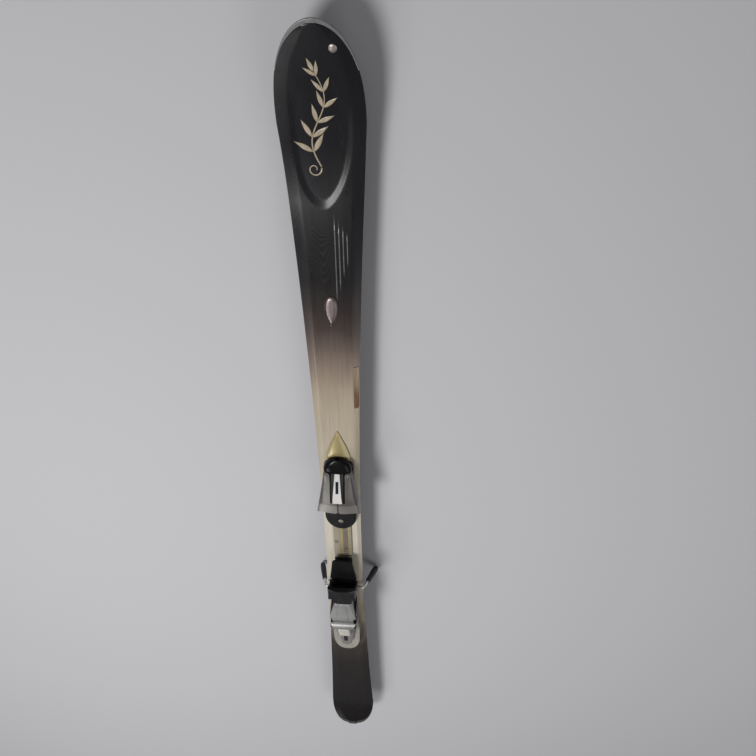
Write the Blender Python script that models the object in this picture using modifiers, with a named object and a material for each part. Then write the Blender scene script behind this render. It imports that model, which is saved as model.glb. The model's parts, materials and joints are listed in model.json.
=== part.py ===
# A carving ski with its binding and ski brake, in metres.
# +X runs to the tip, +Y to the ski's left, +Z up; the origin is on the base under the boot centre.

import math

import bmesh
import bpy
from mathutils import Matrix, Vector

# Fit between neighbouring pieces
GAP = 0.0003

# The ski's outline
SKI_LENGTH = 1.680
SHOVEL_WIDTH = 0.1245
WAIST_WIDTH = 0.0745
TAIL_WIDTH = 0.105
TAIL_TO_BOOT_CENTRE = 0.726
SHOVEL_FROM_TIP = 0.135
WIDE_TAIL_FROM_END = 0.079
TIP_ROUNDNESS = 2.42
TAIL_ROUNDNESS = 3.0
TIP_BLUNTNESS = 2.0
TAIL_BLUNTNESS = 2.7

# The ski's side view
CAMBER = 0.0085
FLAT_HALF_LENGTH = 0.060
TIP_RISE = 0.049
TIP_RISE_LENGTH = 0.250
TAIL_KICK = 0.024
TAIL_KICK_LENGTH = 0.072
TIP_THICKNESS = 0.0042
TAIL_THICKNESS = 0.0060
PLATFORM_TOP = 0.0125
PLATFORM_FRONT = 0.225
PLATFORM_REAR = -0.362

# The layers of the ski
BASE_THICKNESS = 0.0013
EDGE_WIDTH = 0.0020
EDGE_HEIGHT = 0.0020
EDGE_INSET = 0.0040
SKIN = 0.0008
CORE_INSET = 0.0050
SIDE_SHARE = 0.50
LEAST_SIDE = 0.0034
SIDEWALL_WIDTH = 0.0040
SIDEWALL_INSET = 0.0006
SIDEWALL_FROM_TIP = 0.454
SIDEWALL_FROM_TAIL = 0.186
RIM = 0.006
HORN_SHARE = 0.55
BLUNT_END = 0.0003

# The basin in the shovel
BASIN_DEPTH = 0.0014
BASIN_REAR_FROM_TIP = 0.260
BASIN_ROUND_LENGTH = 0.130
BASIN_HALF_WIDTH = 0.0440
BASIN_WALL_SHARE = 0.26
BASIN_SKEW = 0.40
BASIN_FADE_FROM_TIP = 0.154
BASIN_FADE_LENGTH = 0.100

# The rivet, the ornament and the side strip
RIVET_FROM_TIP = 0.0345
RIVET_Y = -0.0235
RIVET_SHANK_RADIUS = 0.0045
RIVET_HEAD_RADIUS = 0.0056
RIVET_FOOT_RADIUS = 0.0080
BADGE_FROM_TIP = 0.4030
BADGE_LENGTH = 0.0555
BADGE_HALF_WIDTH = 0.0118
BADGE_RIM = 0.0018
BADGE_RIM_HEIGHT = 0.0011
BADGE_DOME_HEIGHT = 0.0024
BADGE_STEPS = 16
STRIP_FROM_TIP = 0.537
STRIP_LENGTH = 0.086
STRIP_THICKNESS = 0.0008

# The rail on the ski
RAIL_HALF_WIDTH = 0.0185
RAIL_FOOT_HALF_WIDTH = 0.0150
RAIL_HEIGHT = 0.0044
RAIL_FLANGE_HEIGHT = 0.0027
RAIL_FLANGE_DRAFT = 0.0003
RAIL_FRONT = 0.2085
RAIL_REAR = -0.352
GROOVE_DEPTH = 0.0014
INLAY_THICKNESS = 0.0012
GOLD_LEFT_Y = 0.0026
GOLD_LEFT_WIDTH = 0.0072
RACK_Y = -0.0063
RACK_WIDTH = 0.0080
GOLD_RIGHT_Y = -0.0135
GOLD_RIGHT_WIDTH = 0.0044
RACK_PITCH = 0.0060
RACK_TOOTH_HEIGHT = 0.0005
RACK_ROOT_WIDTH = 0.0018
RACK_FLANK_LENGTH = 0.0006
RACK_TOOTH_ZONES = ((-0.036, 5), (-0.290, 10))
RAIL_SCREW_RADIUS = 0.0042
RAIL_SCREW_HEAD = 0.0016
RAIL_SCREW_Y = 0.0122
RAIL_SCREW_XS = (0.160, -0.012, -0.180, -0.335)

# The gold cover in front of the rail
RAMP_TIP_X = 0.278
RAMP_REAR_X = 0.2125
RAMP_HALF_WIDTH = 0.0226
RAMP_HEIGHT = 0.0075
RAMP_TOP_HALF_WIDTH = 0.0110

# The toe piece
TOE_BASE_REAR = 0.108
TOE_BASE_FRONT = 0.2100
TOE_BASE_HALF_WIDTH = 0.0262
TOE_BASE_TOP = 0.0225
TOE_SHOULDER_REAR = 0.178
TOE_SHOULDER_HALF_WIDTH = 0.0278
TOE_FRONT_CORNER = 0.0110
HOUSING_HALF_WIDTH = 0.0132
HOUSING_CHAMFER = 0.0022
HOUSING_REAR = 0.1350
HOUSING_FRONT = 0.1980
HOUSING_CREST_X = 0.152
HOUSING_CREST_Z = 0.0530
HOUSING_FRONT_Z = 0.0385
PANEL_FRONT_HALF = 0.0047
PANEL_REAR_HALF = 0.0093
PANEL_DEPTH = 0.0010
RIB_WIDTH = 0.0013
RIB_HEIGHT = 0.0012
TOE_WINDOW_HALF = 0.0024
TOE_WINDOW_REAR = 0.159
TOE_WINDOW_FRONT = 0.183
INDICATOR_LENGTH = 0.0045
CHANNEL_DEPTH = 0.0034
NOSE_FRONT = 0.2260
NOSE_HALF_WIDTH = 0.0264
NOSE_FRONT_TOP = 0.0335
NOSE_REAR_TOP = 0.0385
NOSE_BLUNT = 0.0006
TOE_SCREW_Z = 0.0276
TOE_SCREW_RADIUS = 0.0031
TOE_SCREW_DEPTH = 0.0155
HEEL_SCREW_RADIUS = 0.0040
SCREW_SLOT_WIDTH = 0.0012
SETTING_SHANK_RADIUS = 0.0022
WING_PIVOT_X = 0.1945
WING_PIVOT_Y = 0.0203
WING_PIVOT_RADIUS = 0.0060
WING_PIN_RADIUS = 0.0021
WING_PIN_DEPTH = 0.0030
WING_INNER_Y = 0.0142
JAW_INNER_Y = 0.0245
WING_TIP_X = 0.098
WING_TIP_Y = 0.0425
WING_WALL = 0.0036
WING_TOP = 0.0515
WING_PIVOT_TOP = 0.0400
WING_FALL = 0.0060
WING_ROUND = 0.0050
LIP_REAR = 0.106
LIP_INNER_Y = 0.0010
LIP_CORNER = 0.0030
LIP_THICKNESS = 0.0062
LIP_STEP = 0.0002
JAW_FRONT = 0.1290

# The glide plate under the boot's toe
GLIDE_BASE_TOP = 0.0205
GLIDE_TOP = 0.0235
GLIDE_HALF_WIDTH = 0.0309
GLIDE_WIDEST_X = 0.068
GLIDE_REAR_X = 0.031
GLIDE_FRONT_X = 0.1055
GLIDE_PLATE_INSET = 0.0045
GLIDE_PLATE_FRONT = 0.100
GLIDE_RIVET_X = 0.0546
GLIDE_RIVET_RADIUS = 0.0046

# The heel piece
TRACK_FRONT = -0.158
TRACK_REAR = -0.366
TRACK_HALF_WIDTH = 0.0262
TRACK_FLARE_X = -0.280
TRACK_FLARE_HALF = 0.0293
TRACK_TOP = 0.0300
TRACK_WALL = 0.0065
TRACK_ROUND_LENGTH = 0.045
FRAME_CHEEK_INNER = 0.0225
FRAME_CHEEK_OUTER = 0.0275
FRAME_FLOOR = 0.0030
FRAME_FRONT = -0.166
FRAME_REAR = -0.2355
BODY_AXLE_X = -0.195
BODY_AXLE_Z = 0.0605
LEVER_AXLE_X = -0.2245
LEVER_AXLE_Z = 0.0620
KNUCKLE_RADIUS = 0.0088
KNUCKLE_CLEARANCE = 0.0013
SADDLE_Z = 0.0490
BODY_HUB_RADIUS = 0.0135
LEVER_HUB_RADIUS = 0.0125
AXLE_RADIUS = 0.0025
BODY_FRONT_X = -0.1503
BODY_FRONT_TOP = 0.0690
BODY_BOTTOM = 0.0360
BODY_FRONT_HALF = 0.0140
BODY_REAR_HALF = 0.0290
BODY_GROOVE_WIDTH = 0.0014
BODY_GROOVE_DEPTH = 0.0010
CUP_HALF_WIDTH = 0.0290
CUP_BACK_X = -0.138
CUP_SHOULDER = 0.0028
CUP_BAR_REAR = -0.1235
CUP_REAR_TOP = 0.0660
CUP_WING_FRONT = -0.1165
CUP_WING_WALL = 0.0050
CUP_LIP_FRONT = -0.1010
CUP_LIP_LOW = 0.0600
CUP_TOP = 0.0705
TREADLE_FRONT = -0.1125
TREADLE_LOW = 0.0318
TREADLE_TOP = 0.0375
CUP_WALL_BACK = -0.1290
CUP_LIP_RADIUS = 0.075
CUP_LIP_BACK = -0.1065
NECK_HALF_WIDTH = 0.0200
NECK_LOW = 0.0400
NECK_TOP = 0.0655
LEVER_REAR_X = -0.282
LEVER_REAR_TOP = 0.0540
LEVER_FRONT_HALF = 0.0285
LEVER_MIDDLE_X = -0.2340
LEVER_MIDDLE_HALF = 0.0160
LEVER_REAR_HALF = 0.0140
LEVER_THICKNESS = 0.0058
LEVER_PANEL_HALF = 0.0120
LEVER_PANEL_FRONT = -0.2310
LEVER_PANEL_REAR = -0.2780
LEVER_PANEL_SINK = 0.0006
COVER_FRONT = -0.2385
COVER_REAR = -0.328
COVER_FRONT_HALF = 0.0235
COVER_REAR_HALF = 0.0125
COVER_FRONT_TOP = 0.0495
COVER_REAR_TOP = 0.0430
COVER_CHAMFER = 0.0040
HEEL_WINDOW_REAR = -0.315
HEEL_WINDOW_FRONT = -0.289
HEEL_WINDOW_HALF = 0.0040
HEEL_SCREW_Z = 0.0372
LENGTH_SCREW_Z = 0.0217
WORM_FRONT = -0.300
WORM_LEAD = 0.0060
WORM_HEAD_LENGTH = 0.0042
WORM_RADIUS = 0.0040
WORM_CORE_RADIUS = 0.0030

# The brake
BRACKET_FRONT = -0.060
BRACKET_REAR = -0.1565
BRACKET_HALF_WIDTH = 0.0180
BRACKET_THICKNESS = 0.0028
LUG_INNER = 0.0195
LUG_OUTER = 0.0268
LUG_TOP = 0.0290
LUG_BOTTOM = 0.0135
LUG_LENGTH = 0.0170
BRAKE_AXIS_X = -0.147
BRAKE_AXIS_Z = 0.0245
BRAKE_AXLE_RADIUS = 0.0020
PEDAL_TILT = 6.0
PEDAL_FRONT_X = -0.045
PEDAL_REAR_X = -0.1105
PEDAL_FRONT_HALF = 0.0200
PEDAL_REAR_HALF = 0.0285
PEDAL_LIFT = 0.0020
PEDAL_THICKNESS = 0.0040
PEDAL_RIB_XS = (-0.070, -0.080, -0.090, -0.100)
PEDAL_RIB_WIDTH = 0.0024
PEDAL_RIB_HEIGHT = 0.0008
PEDAL_CORNER = 0.0040
PEDAL_ARM_INNER = 0.0100
PEDAL_ARM_OUTER = 0.0182
PEDAL_HUB_RADIUS = 0.0038
WIRE_RADIUS = 0.0028
WIRE_SIDE_CLEARANCE = 0.00325
WIRE_END_INSET = 0.0020
WIRE_BEND_RADIUS = 0.006
WIRE_INTO_TIP = 0.045
ARM_END_X = -0.176
ARM_SPREAD = 0.0205
ARM_END_Z = -0.0555
STOWED_SLOPE = 0.17
ARM_TIP_LENGTH = 0.060
ARM_TIP_WIDTH = 0.0130
ARM_TIP_THICKNESS = 0.0120

# Places that follow from the sizes above
TIP_X = SKI_LENGTH - TAIL_TO_BOOT_CENTRE
TAIL_X = -TAIL_TO_BOOT_CENTRE
SHOVEL_X = TIP_X - SHOVEL_FROM_TIP
WIDE_TAIL_X = TAIL_X + WIDE_TAIL_FROM_END
FRONT_CONTACT_X = TIP_X - TIP_RISE_LENGTH
REAR_CONTACT_X = TAIL_X + TAIL_KICK_LENGTH
LAYER_TIP = TIP_X - RIM - GAP - BLUNT_END
LAYER_TAIL = TAIL_X + RIM + GAP + BLUNT_END
EDGE_FRONT = SHOVEL_X - EDGE_INSET
EDGE_REAR = WIDE_TAIL_X + EDGE_INSET
RIVET_X = TIP_X - RIVET_FROM_TIP
BADGE_FRONT_X = TIP_X - BADGE_FROM_TIP
STRIP_FRONT_X = TIP_X - STRIP_FROM_TIP
STRIP_REAR_X = STRIP_FRONT_X - STRIP_LENGTH
BASIN_REAR = TIP_X - BASIN_REAR_FROM_TIP
BASIN_FADE_X = TIP_X - BASIN_FADE_FROM_TIP
SIDEWALL_FRONT = TIP_X - SIDEWALL_FROM_TIP
SIDEWALL_REAR = TAIL_X + SIDEWALL_FROM_TAIL
WIRE_BEND_Y = WAIST_WIDTH / 2 + WIRE_SIDE_CLEARANCE
RAIL_BOTTOM = PLATFORM_TOP + GAP
RAIL_TOP = RAIL_BOTTOM + RAIL_HEIGHT
FLANGE_BOTTOM = RAIL_TOP - RAIL_FLANGE_HEIGHT
CARRIAGE_BOTTOM = RAIL_TOP + GAP
WIRE_INNER_Y = LUG_INNER + WIRE_END_INSET
ARM_END_Y = WIRE_BEND_Y + ARM_SPREAD
BODY_AXLE = (BODY_AXLE_X, BODY_AXLE_Z)
LEVER_AXLE = (LEVER_AXLE_X, LEVER_AXLE_Z)

PARTS = "carving_ski"
CUTTERS = "cutters"
ROUND_STEPS = 24


# Scene and material helpers
def clear_scene():
    for thing in list(bpy.data.objects):
        bpy.data.objects.remove(thing, do_unlink=True)


def collection(name, shown):
    """The named collection, made the first time it is asked for."""
    found = bpy.data.collections.get(name)
    if found is None:
        found = bpy.data.collections.new(name)
        bpy.context.scene.collection.children.link(found)
        found.hide_render = not shown
    return found


def paint(name, colour, roughness, metallic=0.0):
    """A plain material of one colour."""
    found = bpy.data.materials.get(name)
    if found is None:
        found = bpy.data.materials.new(name)
        found.use_nodes = True
        shader = found.node_tree.nodes["Principled BSDF"]
        shader.inputs["Base Color"].default_value = (*colour, 1.0)
        shader.inputs["Roughness"].default_value = roughness
        shader.inputs["Metallic"].default_value = metallic
    return found


def make_object(name, data, material):
    """Puts a mesh in the parts collection, or among the cutters when it has no material."""
    made = bpy.data.objects.new(name, data)
    if material is None:
        collection(CUTTERS, False).objects.link(made)
        made.hide_render = True
        made.display_type = "WIRE"
    else:
        data.materials.append(material)
        collection(PARTS, True).objects.link(made)
    return made


def finish_mesh(name, shape, material):
    """Turns a bmesh into an object with its faces pointing outwards."""
    bmesh.ops.recalc_face_normals(shape, faces=shape.faces)
    data = bpy.data.meshes.new(name)
    shape.to_mesh(data)
    shape.free()
    return make_object(name, data, material)


# Shape helpers
def add_loft(shape, rings):
    """Adds a closed skin over rings of equal point counts, with a flat face at each end."""
    corners = [[shape.verts.new(point) for point in ring] for ring in rings]
    count = len(rings[0])
    for near, far in zip(corners, corners[1:]):
        for i in range(count):
            k = (i + 1) % count
            shape.faces.new((near[i], near[k], far[k], far[i]))
    shape.faces.new(corners[0])
    shape.faces.new(list(reversed(corners[-1])))


def loft(name, rings, material=None):
    shape = bmesh.new()
    add_loft(shape, rings)
    return finish_mesh(name, shape, material)


def mesh_from_curve(name, curve, place, material):
    """Makes a curve a mesh, welds its caps and puts it in its place."""
    drawn = bpy.data.objects.new(f"{name}_curve", curve)
    bpy.context.scene.collection.objects.link(drawn)
    seen = drawn.evaluated_get(bpy.context.evaluated_depsgraph_get())
    shape = bmesh.new()
    shape.from_mesh(bpy.data.meshes.new_from_object(seen))
    bpy.data.objects.remove(drawn, do_unlink=True)
    bmesh.ops.remove_doubles(shape, verts=shape.verts, dist=0.000001)
    bmesh.ops.transform(shape, matrix=place, verts=shape.verts)
    return finish_mesh(name, shape, material)


def outline_solid(name, outlines, thickness, place, material):
    """A flat outline given thickness, drawn as a filled curve; any further outlines are holes."""
    curve = bpy.data.curves.new(name, "CURVE")
    curve.dimensions = "2D"
    curve.fill_mode = "BOTH"
    curve.extrude = thickness / 2
    for outline in outlines:
        spline = curve.splines.new("POLY")
        spline.points.add(len(outline) - 1)
        for point, (u, v) in zip(spline.points, outline):
            point.co = (u, v, 0.0, 1.0)
        spline.use_cyclic_u = True
    return mesh_from_curve(name, curve, place, material)


def prism_across(name, outline, right, left, material=None, holes=()):
    """An outline of (x, z) points carried across the ski."""
    place = Matrix(((1, 0, 0, 0), (0, 0, 1, (right + left) / 2), (0, 1, 0, 0), (0, 0, 0, 1)))
    return outline_solid(name, [outline, *holes], left - right, place, material)


def prism_along(name, outline, rear, front, material=None):
    """An outline of (y, z) points carried along the ski."""
    place = Matrix(((0, 0, 1, (rear + front) / 2), (1, 0, 0, 0), (0, 1, 0, 0), (0, 0, 0, 1)))
    return outline_solid(name, [outline], front - rear, place, material)


def prism_up(name, outline, low, high, material=None):
    """An outline of (x, y) points carried upwards."""
    place = Matrix.Translation((0, 0, (low + high) / 2))
    return outline_solid(name, [outline], high - low, place, material)


def block(name, low, high, material=None):
    """A box between two corners."""
    low, high = Vector(low), Vector(high)
    shape = bmesh.new()
    bmesh.ops.create_cube(shape, size=1.0)
    bmesh.ops.scale(shape, vec=high - low, verts=shape.verts)
    bmesh.ops.translate(shape, vec=(low + high) / 2, verts=shape.verts)
    return finish_mesh(name, shape, material)


def rod(name, start, end, radius, material=None, steps=ROUND_STEPS):
    """A plain cylinder between two points."""
    start, end = Vector(start), Vector(end)
    reach = end - start
    round_ends = {"radius1": radius, "radius2": radius, "depth": reach.length}
    shape = bmesh.new()
    bmesh.ops.create_cone(shape, cap_ends=True, segments=steps, **round_ends)
    turn = reach.to_track_quat("Z", "Y").to_matrix().to_4x4()
    bmesh.ops.transform(shape, matrix=Matrix.Translation((start + end) / 2) @ turn, verts=shape.verts)
    return finish_mesh(name, shape, material)


def arc(centre, radius, first, last, steps):
    """Points on an arc between two angles in degrees."""
    angles = [math.radians(first + (last - first) * i / steps) for i in range(steps + 1)]
    return [(centre[0] + radius * math.cos(a), centre[1] + radius * math.sin(a)) for a in angles]


def turned(name, start, direction, profile, material=None, steps=ROUND_STEPS):
    """A turned solid: profile lists (distance along, radius), foot first, from start."""
    points = [(radius, along) for along, radius in reversed(profile)]
    points = [(0.0, points[0][1])] + points + [(0.0, points[-1][1])]
    data = bpy.data.meshes.new(name)
    data.from_pydata([(r, 0.0, z) for r, z in points], [(i, i + 1) for i in range(len(points) - 1)], [])
    made = make_object(name, data, material)
    spin = made.modifiers.new("turn", "SCREW")
    spin.steps = spin.render_steps = steps
    spin.use_merge_vertices = True
    spin.merge_threshold = 0.00001
    made.location = start
    made.rotation_euler = Vector(direction).to_track_quat("Z", "Y").to_euler()
    return made


def boolean(target, other, operation):
    change = target.modifiers.new(operation.lower(), "BOOLEAN")
    change.operation = operation
    change.solver = "EXACT"
    change.object = other


def cut(target, *cutters):
    for cutter in cutters:
        boolean(target, cutter, "DIFFERENCE")


def fuse(target, *others):
    for other in others:
        boolean(target, other, "UNION")


def keep_inside(target, other):
    boolean(target, other, "INTERSECT")


def bevel(target, width, segments=1):
    """Breaks the sharp edges."""
    change = target.modifiers.new("bevel", "BEVEL")
    change.width = width
    change.segments = segments
    change.limit_method = "ANGLE"
    change.angle_limit = math.radians(35)


def smooth(target):
    """Shades round faces smooth and keeps sharp edges sharp."""
    target.data.shade_smooth()
    target.data.set_sharp_from_angle(angle=math.radians(40))


def put_origin(target, point):
    """Moves an object's origin without moving its shape."""
    target.data.transform(Matrix.Translation(-Vector(point)))
    target.location = point


def ease(share):
    """A smooth step from 0 to 1."""
    share = min(1.0, max(0.0, share))
    return share * share * (3 - 2 * share)


def between(start, end, share):
    return start + (end - start) * share


# The ski's form
def end_share(out, length, roundness, bluntness):
    """Share of the full width left at a distance out along a rounded end of that length."""
    share = min(1.0, out / length)
    return (1 - share**roundness) ** (1 / bluntness)


def half_width(x):
    """Half the width of the ski at x."""
    if x > SHOVEL_X:
        return SHOVEL_WIDTH / 2 * end_share(x - SHOVEL_X, SHOVEL_FROM_TIP, TIP_ROUNDNESS, TIP_BLUNTNESS)
    if x < WIDE_TAIL_X:
        return TAIL_WIDTH / 2 * end_share(WIDE_TAIL_X - x, WIDE_TAIL_FROM_END, TAIL_ROUNDNESS, TAIL_BLUNTNESS)
    widest, far = (SHOVEL_WIDTH, SHOVEL_X) if x > 0 else (TAIL_WIDTH, WIDE_TAIL_X)
    return WAIST_WIDTH / 2 + (widest - WAIST_WIDTH) / 2 * (x / far) ** 2


def horn_place(widest_x, end_length):
    """Where the horns of a rim band begin."""
    step = 1.0 if widest_x > 0 else -1.0
    return widest_x + step * ((end_length - RIM) * HORN_SHARE - GAP)


def layer_half_width(x):
    """Half the width of the layers, which stop short of the rim bands."""
    front_horn = horn_place(SHOVEL_X, SHOVEL_FROM_TIP)
    rear_horn = horn_place(WIDE_TAIL_X, WIDE_TAIL_FROM_END)
    if x > front_horn:
        length = SHOVEL_FROM_TIP - RIM - GAP
        return (SHOVEL_WIDTH / 2 - GAP) * end_share(x - SHOVEL_X, length, TIP_ROUNDNESS, TIP_BLUNTNESS)
    if x < rear_horn:
        length = WIDE_TAIL_FROM_END - RIM - GAP
        return (TAIL_WIDTH / 2 - GAP) * end_share(WIDE_TAIL_X - x, length, TAIL_ROUNDNESS, TAIL_BLUNTNESS)
    return half_width(x)


def base_z(x):
    """Height of the sliding face at x, zero on the flat under the boot."""
    out = abs(x) - FLAT_HALF_LENGTH
    if out <= 0:
        return 0.0
    contact, rise, length = REAR_CONTACT_X, TAIL_KICK, TAIL_KICK_LENGTH
    if x > 0:
        contact, rise, length = FRONT_CONTACT_X, TIP_RISE, TIP_RISE_LENGTH
    span = abs(contact) - FLAT_HALF_LENGTH
    past = abs(x) - abs(contact)
    if past <= 0:
        return -CAMBER * (out / span) ** 2
    return -CAMBER - 2 * CAMBER / span * past + rise * (past / length) ** 2


def thickness(x):
    """Thickness of the ski on its centre line; its top is level under the rail."""
    if x > PLATFORM_FRONT:
        share = (x - PLATFORM_FRONT) / (TIP_X - PLATFORM_FRONT)
        return between(PLATFORM_TOP - base_z(PLATFORM_FRONT), TIP_THICKNESS, math.sin(share * math.pi / 2))
    if x < PLATFORM_REAR:
        share = (PLATFORM_REAR - x) / (PLATFORM_REAR - TAIL_X)
        return between(PLATFORM_TOP - base_z(PLATFORM_REAR), TAIL_THICKNESS, math.sin(share * math.pi / 2))
    return PLATFORM_TOP - base_z(x)


def bevel_width(x):
    """Width of the slope along each side of the topsheet."""
    wide = between(0.0085, 0.0175, ease((abs(x) - 0.20) / 0.45))
    return min(wide, 0.45 * layer_half_width(x))


def basin_depth(x, y):
    """Depth of the shallow basin: a skewed round wall behind, and a floor that runs out in front."""
    along = min(1.0, (x + BASIN_SKEW * y - BASIN_REAR) / BASIN_ROUND_LENGTH)
    if along <= 0:
        return 0.0
    inside = 1 - (abs(y) / BASIN_HALF_WIDTH) ** 1.67 - (1 - along) ** 2.6
    fade = 1 - ease((x - BASIN_FADE_X) / BASIN_FADE_LENGTH)
    return BASIN_DEPTH * fade * ease(inside / BASIN_WALL_SHARE)


def cap_height(x, y):
    """Height of the topsheet's outer face above the sliding face."""
    full = thickness(x)
    side = max(SIDE_SHARE * full, min(LEAST_SIDE, 0.85 * full))
    slope = bevel_width(x)
    past = abs(y) - (layer_half_width(x) - slope)
    if past > 0:
        full = between(full, side, min(1.0, past / slope))
    return full - basin_depth(x, y)


def cap_z(x, y):
    return base_z(x) + cap_height(x, y)


def even_steps(start, end, count):
    """Places between two ends, without the ends."""
    return [between(start, end, i / count) for i in range(1, count)]


def stations(rear, front):
    """Places along the ski where its section is drawn, closer together where it bends more."""
    near_end = [0.0008, 0.0030, 0.0070, 0.013, 0.020, 0.030]
    places = [rear, front]
    if rear < WIDE_TAIL_X:
        places += [rear + step for step in near_end]
        places += even_steps(WIDE_TAIL_X, rear + near_end[-1], 4)
    if front > SHOVEL_X:
        places += [front - step for step in near_end]
    flat, level = FLAT_HALF_LENGTH, PLATFORM_FRONT
    knots = [REAR_CONTACT_X, PLATFORM_REAR, -flat, flat, level, FRONT_CONTACT_X, TIP_X - near_end[-1]]
    for start, end, count in zip(knots, knots[1:], (14, 4, 1, 2, 15, 13)):
        places += [start] + even_steps(start, end, count)
    places += [WIDE_TAIL_X, SIDEWALL_REAR, SIDEWALL_FRONT]
    places += even_steps(BASIN_REAR - 0.010, BASIN_REAR + 0.090, 10)
    for widest, length in ((SHOVEL_X, SHOVEL_FROM_TIP), (WIDE_TAIL_X, WIDE_TAIL_FROM_END)):
        horn = horn_place(widest, length)
        places += [horn - 0.0001, horn + 0.0001]
    return sorted({round(x, 5) for x in places if rear <= x <= front})


def cap_places(x, reach):
    """Lateral places of a section from right to left, out to the given reach."""
    shoulder = layer_half_width(x) - bevel_width(x)
    shares = (-1.0, -0.86, -0.68, -0.48, -0.25, 0.0, 0.25, 0.48, 0.68, 0.86, 1.0)
    inner = [min(reach, max(-reach, share * shoulder)) for share in shares]
    return [-reach] + inner + [reach]


def running_base():
    def half(x):
        beside_edges = EDGE_REAR - 2 * GAP < x < EDGE_FRONT + 2 * GAP
        return layer_half_width(x) - (EDGE_WIDTH + GAP if beside_edges else 0.0)

    rings = []
    steps = [EDGE_REAR - 3 * GAP, EDGE_REAR - GAP, EDGE_FRONT + GAP, EDGE_FRONT + 3 * GAP]
    for x in sorted(set(stations(LAYER_TAIL, LAYER_TIP)) | set(steps)):
        zb, hw = base_z(x), half(x)
        top = zb + BASE_THICKNESS
        rings.append([(x, -hw, zb), (x, hw, zb), (x, hw, top), (x, -hw, top)])
    made = loft("running_base", rings, paint("base_black", (0.012, 0.012, 0.014), 0.22))
    cut(made, rivet_bore("base_bore", RIVET_FOOT_RADIUS + GAP))


def steel_edge(name, side):
    rings = []
    for x in stations(EDGE_REAR, EDGE_FRONT):
        zb = base_z(x)
        outer = side * half_width(x)
        inner = side * (half_width(x) - EDGE_WIDTH)
        top = zb + EDGE_HEIGHT
        rings.append([(x, inner, zb), (x, outer, zb), (x, outer, top), (x, inner, top)])
    loft(name, rings, paint("edge_steel", (0.55, 0.56, 0.58), 0.3, 1.0))


def core_half(x):
    return max(0.002, layer_half_width(x) - CORE_INSET)


def wood_core():
    rings = []
    for x in stations(LAYER_TAIL + 0.004, LAYER_TIP - 0.004):
        zb = base_z(x)
        low = zb + BASE_THICKNESS + GAP
        reach = core_half(x)
        top = [(x, y, zb + cap_height(x, y) - SKIN - GAP) for y in reversed(cap_places(x, reach))]
        bottom = [(x, -reach, low), (x, reach, low)]
        rings.append(bottom + top)
    made = loft("wood_core", rings, paint("core_wood", (0.62, 0.47, 0.30), 0.7))
    cut(made, rivet_bore("core_bore", RIVET_SHANK_RADIUS + GAP))


def sidewall(name, side):
    rings = []
    for x in stations(SIDEWALL_REAR, SIDEWALL_FRONT):
        zb = base_z(x)
        outer = half_width(x) - SIDEWALL_INSET
        inner = outer - SIDEWALL_WIDTH
        low = zb + EDGE_HEIGHT + GAP
        rings.append(
            [
                (x, side * inner, low),
                (x, side * outer, low),
                (x, side * outer, zb + cap_height(x, outer) - SKIN - GAP),
                (x, side * inner, zb + cap_height(x, inner) - SKIN - GAP),
            ]
        )
    loft(name, rings, paint("sidewall_black", (0.03, 0.03, 0.032), 0.45))


def topsheet():
    rings = []
    for x in stations(LAYER_TAIL, LAYER_TIP):
        zb = base_z(x)
        places = cap_places(x, layer_half_width(x))
        top = [(x, y, zb + cap_height(x, y)) for y in places]
        under = [(x, y, zb + cap_height(x, y) - SKIN) for y in reversed(places)]
        rings.append(top + under)
    made = loft("topsheet", rings, paint("topsheet_charcoal", (0.045, 0.042, 0.045), 0.3))
    cut(made, rivet_bore("topsheet_bore", RIVET_SHANK_RADIUS + GAP))
    smooth(made)


def rim_band(name, widest_x, end_length, width, roundness, bluntness, material):
    """A band round the tip or the tail, from horn to horn."""
    step = 1.0 if widest_x > 0 else -1.0
    first = math.asin(HORN_SHARE ** (roundness / 2))
    count = 15
    angles = [between(first, math.pi / 2, ease(i / count) if i < count else 1.0) for i in range(count + 1)]
    angles = [(a, 1.0) for a in angles] + [(a, -1.0) for a in reversed(angles[:-1])]
    rings = []
    for angle, side in angles:
        along = math.sin(angle) ** (2 / roundness)
        across = side * width / 2 * max(0.0, math.cos(angle)) ** (2 / bluntness)
        outer_x = widest_x + step * end_length * along
        inner_x = widest_x + step * (end_length - RIM) * along
        outer_z, inner_z = base_z(outer_x), base_z(inner_x)
        height = cap_height(inner_x, layer_half_width(inner_x))
        rings.append(
            [
                (outer_x, across, outer_z),
                (outer_x, across, outer_z + 0.8 * height),
                (between(outer_x, inner_x, 0.3), across, between(outer_z, inner_z, 0.3) + height),
                (inner_x, across, inner_z + height),
                (inner_x, across, inner_z),
            ]
        )
    loft(name, rings, material)


def rivet_axis():
    """The rivet's foot on the base and the direction of its shank."""
    reach = 0.001
    slope = (base_z(RIVET_X + reach) - base_z(RIVET_X - reach)) / (2 * reach)
    return Vector((RIVET_X, RIVET_Y, base_z(RIVET_X))), Vector((-slope, 0.0, 1.0)).normalized()


def rivet_bore(name, radius):
    foot, up = rivet_axis()
    return rod(name, foot - up * 0.01, foot + up * 0.02, radius)


def tip_rivet():
    foot, up = rivet_axis()
    top = cap_height(RIVET_X, RIVET_Y) * up.z
    profile = [
        (0.0001, RIVET_FOOT_RADIUS),
        (BASE_THICKNESS - GAP, RIVET_FOOT_RADIUS),
        (BASE_THICKNESS - GAP, RIVET_SHANK_RADIUS),
        (top + 2 * GAP, RIVET_SHANK_RADIUS),
        (top + 2 * GAP, RIVET_HEAD_RADIUS),
        (top + 0.0010, RIVET_HEAD_RADIUS),
        (top + 0.0017, 0.75 * RIVET_HEAD_RADIUS),
        (top + 0.0020, 0.35 * RIVET_HEAD_RADIUS),
    ]
    made = turned("tip_rivet", foot, up, profile, paint("rivet_silver", (0.72, 0.73, 0.75), 0.3, 1.0))
    smooth(made)


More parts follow.
